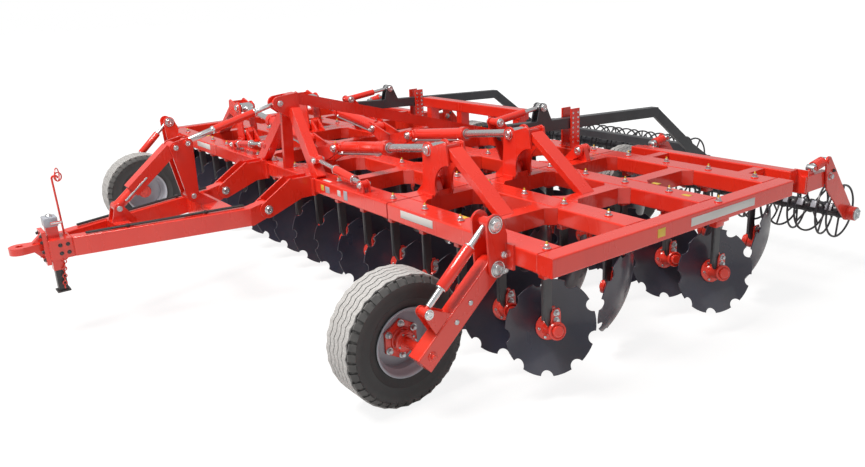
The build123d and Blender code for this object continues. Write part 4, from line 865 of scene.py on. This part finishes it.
drawLines, drawClips = Bench(), Bench()
for side in (-1, 1):
    for offset in (0.0, heldLines["apart"]):
        start, end = (spot(side * (x - offset), y, z) for x, y, z in (heldLines["rear"], heldLines["front"]))
        heldLine(drawLines, drawClips, start, end)
drawLines.piece("drawbar_lines", "drawbar", "hoseRubber", 30, True)
drawClips.piece("drawbar_line_clips", "drawbar", "jackBlack", 30, True)

# weld beads where the lengthwise beams meet the rows
weld = {"wire": 0.0042, "half": 0.118, "seam": 0.095, "top": 0.9185,
        "centreBeams": (-1.493, -0.7465, 0, 0.7465, 1.493), "centreReach": 1.553,
        "wingBeams": (1.626, 2.353), "wingStart": 1.568}
outerWeld = {"x": 3.020, "seam": 0.093, "half": 0.088, "low": 0.812, "high": 0.914, "top": 0.9188}


def bead(bench, start, end):
    bench.tube(spot(*start), spot(*end), weld["wire"], sides=6)


beads = {word: Bench() for word in bodyOf}
for row in range(4):
    for edge in (-1, 1):
        y = rowY[row] + edge * weld["seam"]
        if (row == 0 and edge < 0) or (row == 3 and edge > 0):
            continue
        for x in weld["centreBeams"]:
            low = max(x - weld["half"], -weld["centreReach"])
            high = min(x + weld["half"], weld["centreReach"])
            bead(beads["centre"], (low, y, weld["top"]), (high, y, weld["top"]))
        for word, side in sides.items():
            for x in weld["wingBeams"]:
                inner = max(x - weld["half"], weld["wingStart"])
                low, high = sorted((side * inner, side * (x + weld["half"])))
                bead(beads[word], (low, y, weld["top"]), (high, y, weld["top"]))
for word, side in sides.items():
    x = side * outerWeld["x"]
    for y in rowY:
        for edge in (-1, 1):
            seam = y + edge * outerWeld["seam"]
            bead(beads[word], (x, seam, outerWeld["low"]), (x, seam, outerWeld["high"]))
        bead(beads[word], (x, y - outerWeld["half"], outerWeld["top"]),
             (x, y + outerWeld["half"], outerWeld["top"]))
for word, bench in beads.items():
    bench.piece(f"{word}_weld_beads", bodyOf[word], "redPaint", 50, True)
print("lines and welds ready")

# small yellow plates, one on the outer beam and three on the tops
yellow = {"face": 3.1405, "faceHalf": 0.0015, "faceY": (0.860, 0.930), "faceZ": (0.838, 0.892),
          "tops": ((2.86, 1.50), (2.52, 1.62), (2.20, 0.14)), "topHalf": 0.030, "topLong": 0.040,
          "topZ": (0.9195, 0.9212)}
for word, side in sides.items():
    marks = Bench()
    low, high = (spot(side * yellow["face"], y, z) for y, z in zip(yellow["faceY"], yellow["faceZ"]))
    thick = Vector((yellow["faceHalf"], 0, 0))
    marks.block(low - thick, high + thick, 0.0004)
    for x, y in yellow["tops"]:
        marks.block(spot(side * x - yellow["topHalf"], y, yellow["topZ"][0]),
                    spot(side * x + yellow["topHalf"], y + yellow["topLong"], yellow["topZ"][1]), 0.0004)
    marks.piece(f"{word}_yellow_plates", f"wing_{word}", "yellowCap", 30, True)

# chain that hangs beside the jack, from its shackle
chainLook = {"links": 9, "first": (0.052, -1.800, 0.585), "drop": 0.026, "drift": 0.004, "radius": 0.0135,
             "wire": 0.0042, "shackleZ": 0.600}
chain = Bench()
chainX, chainY, chainZ = chainLook["first"]
for index in range(chainLook["links"]):
    place = spot(chainX, chainY - chainLook["drift"] * index, chainZ - chainLook["drop"] * index)
    way = Vector((1, 0, 0)) if index % 2 else Vector((0.2, 1, 0))
    chain.ring(place, way, chainLook["radius"], chainLook["wire"], 16, 6)
chain.ring(spot(chainX, chainY, chainLook["shackleZ"]), (1, 0, 0), 0.026, 0.006, 20, 6)
chain.piece("safety_chain", "drawbar", "redPaint", 40, True)

# wire loops at the top of the hose hook
hookLoops = {"wire": 0.0045, "large": ((0.010, -1.735, 1.178), (0.5, 1, 0), 0.046),
             "small": ((0.026, -1.735, 1.166), (0.9, 0.5, 0), 0.030)}
eye = Bench()
for place, way, radius in (hookLoops["large"], hookLoops["small"]):
    eye.ring(spot(*place), way, radius, hookLoops["wire"], 32, 6)
eye.piece("hook_eyes", "drawbar", "redPaint", 40, True)
print("details ready")
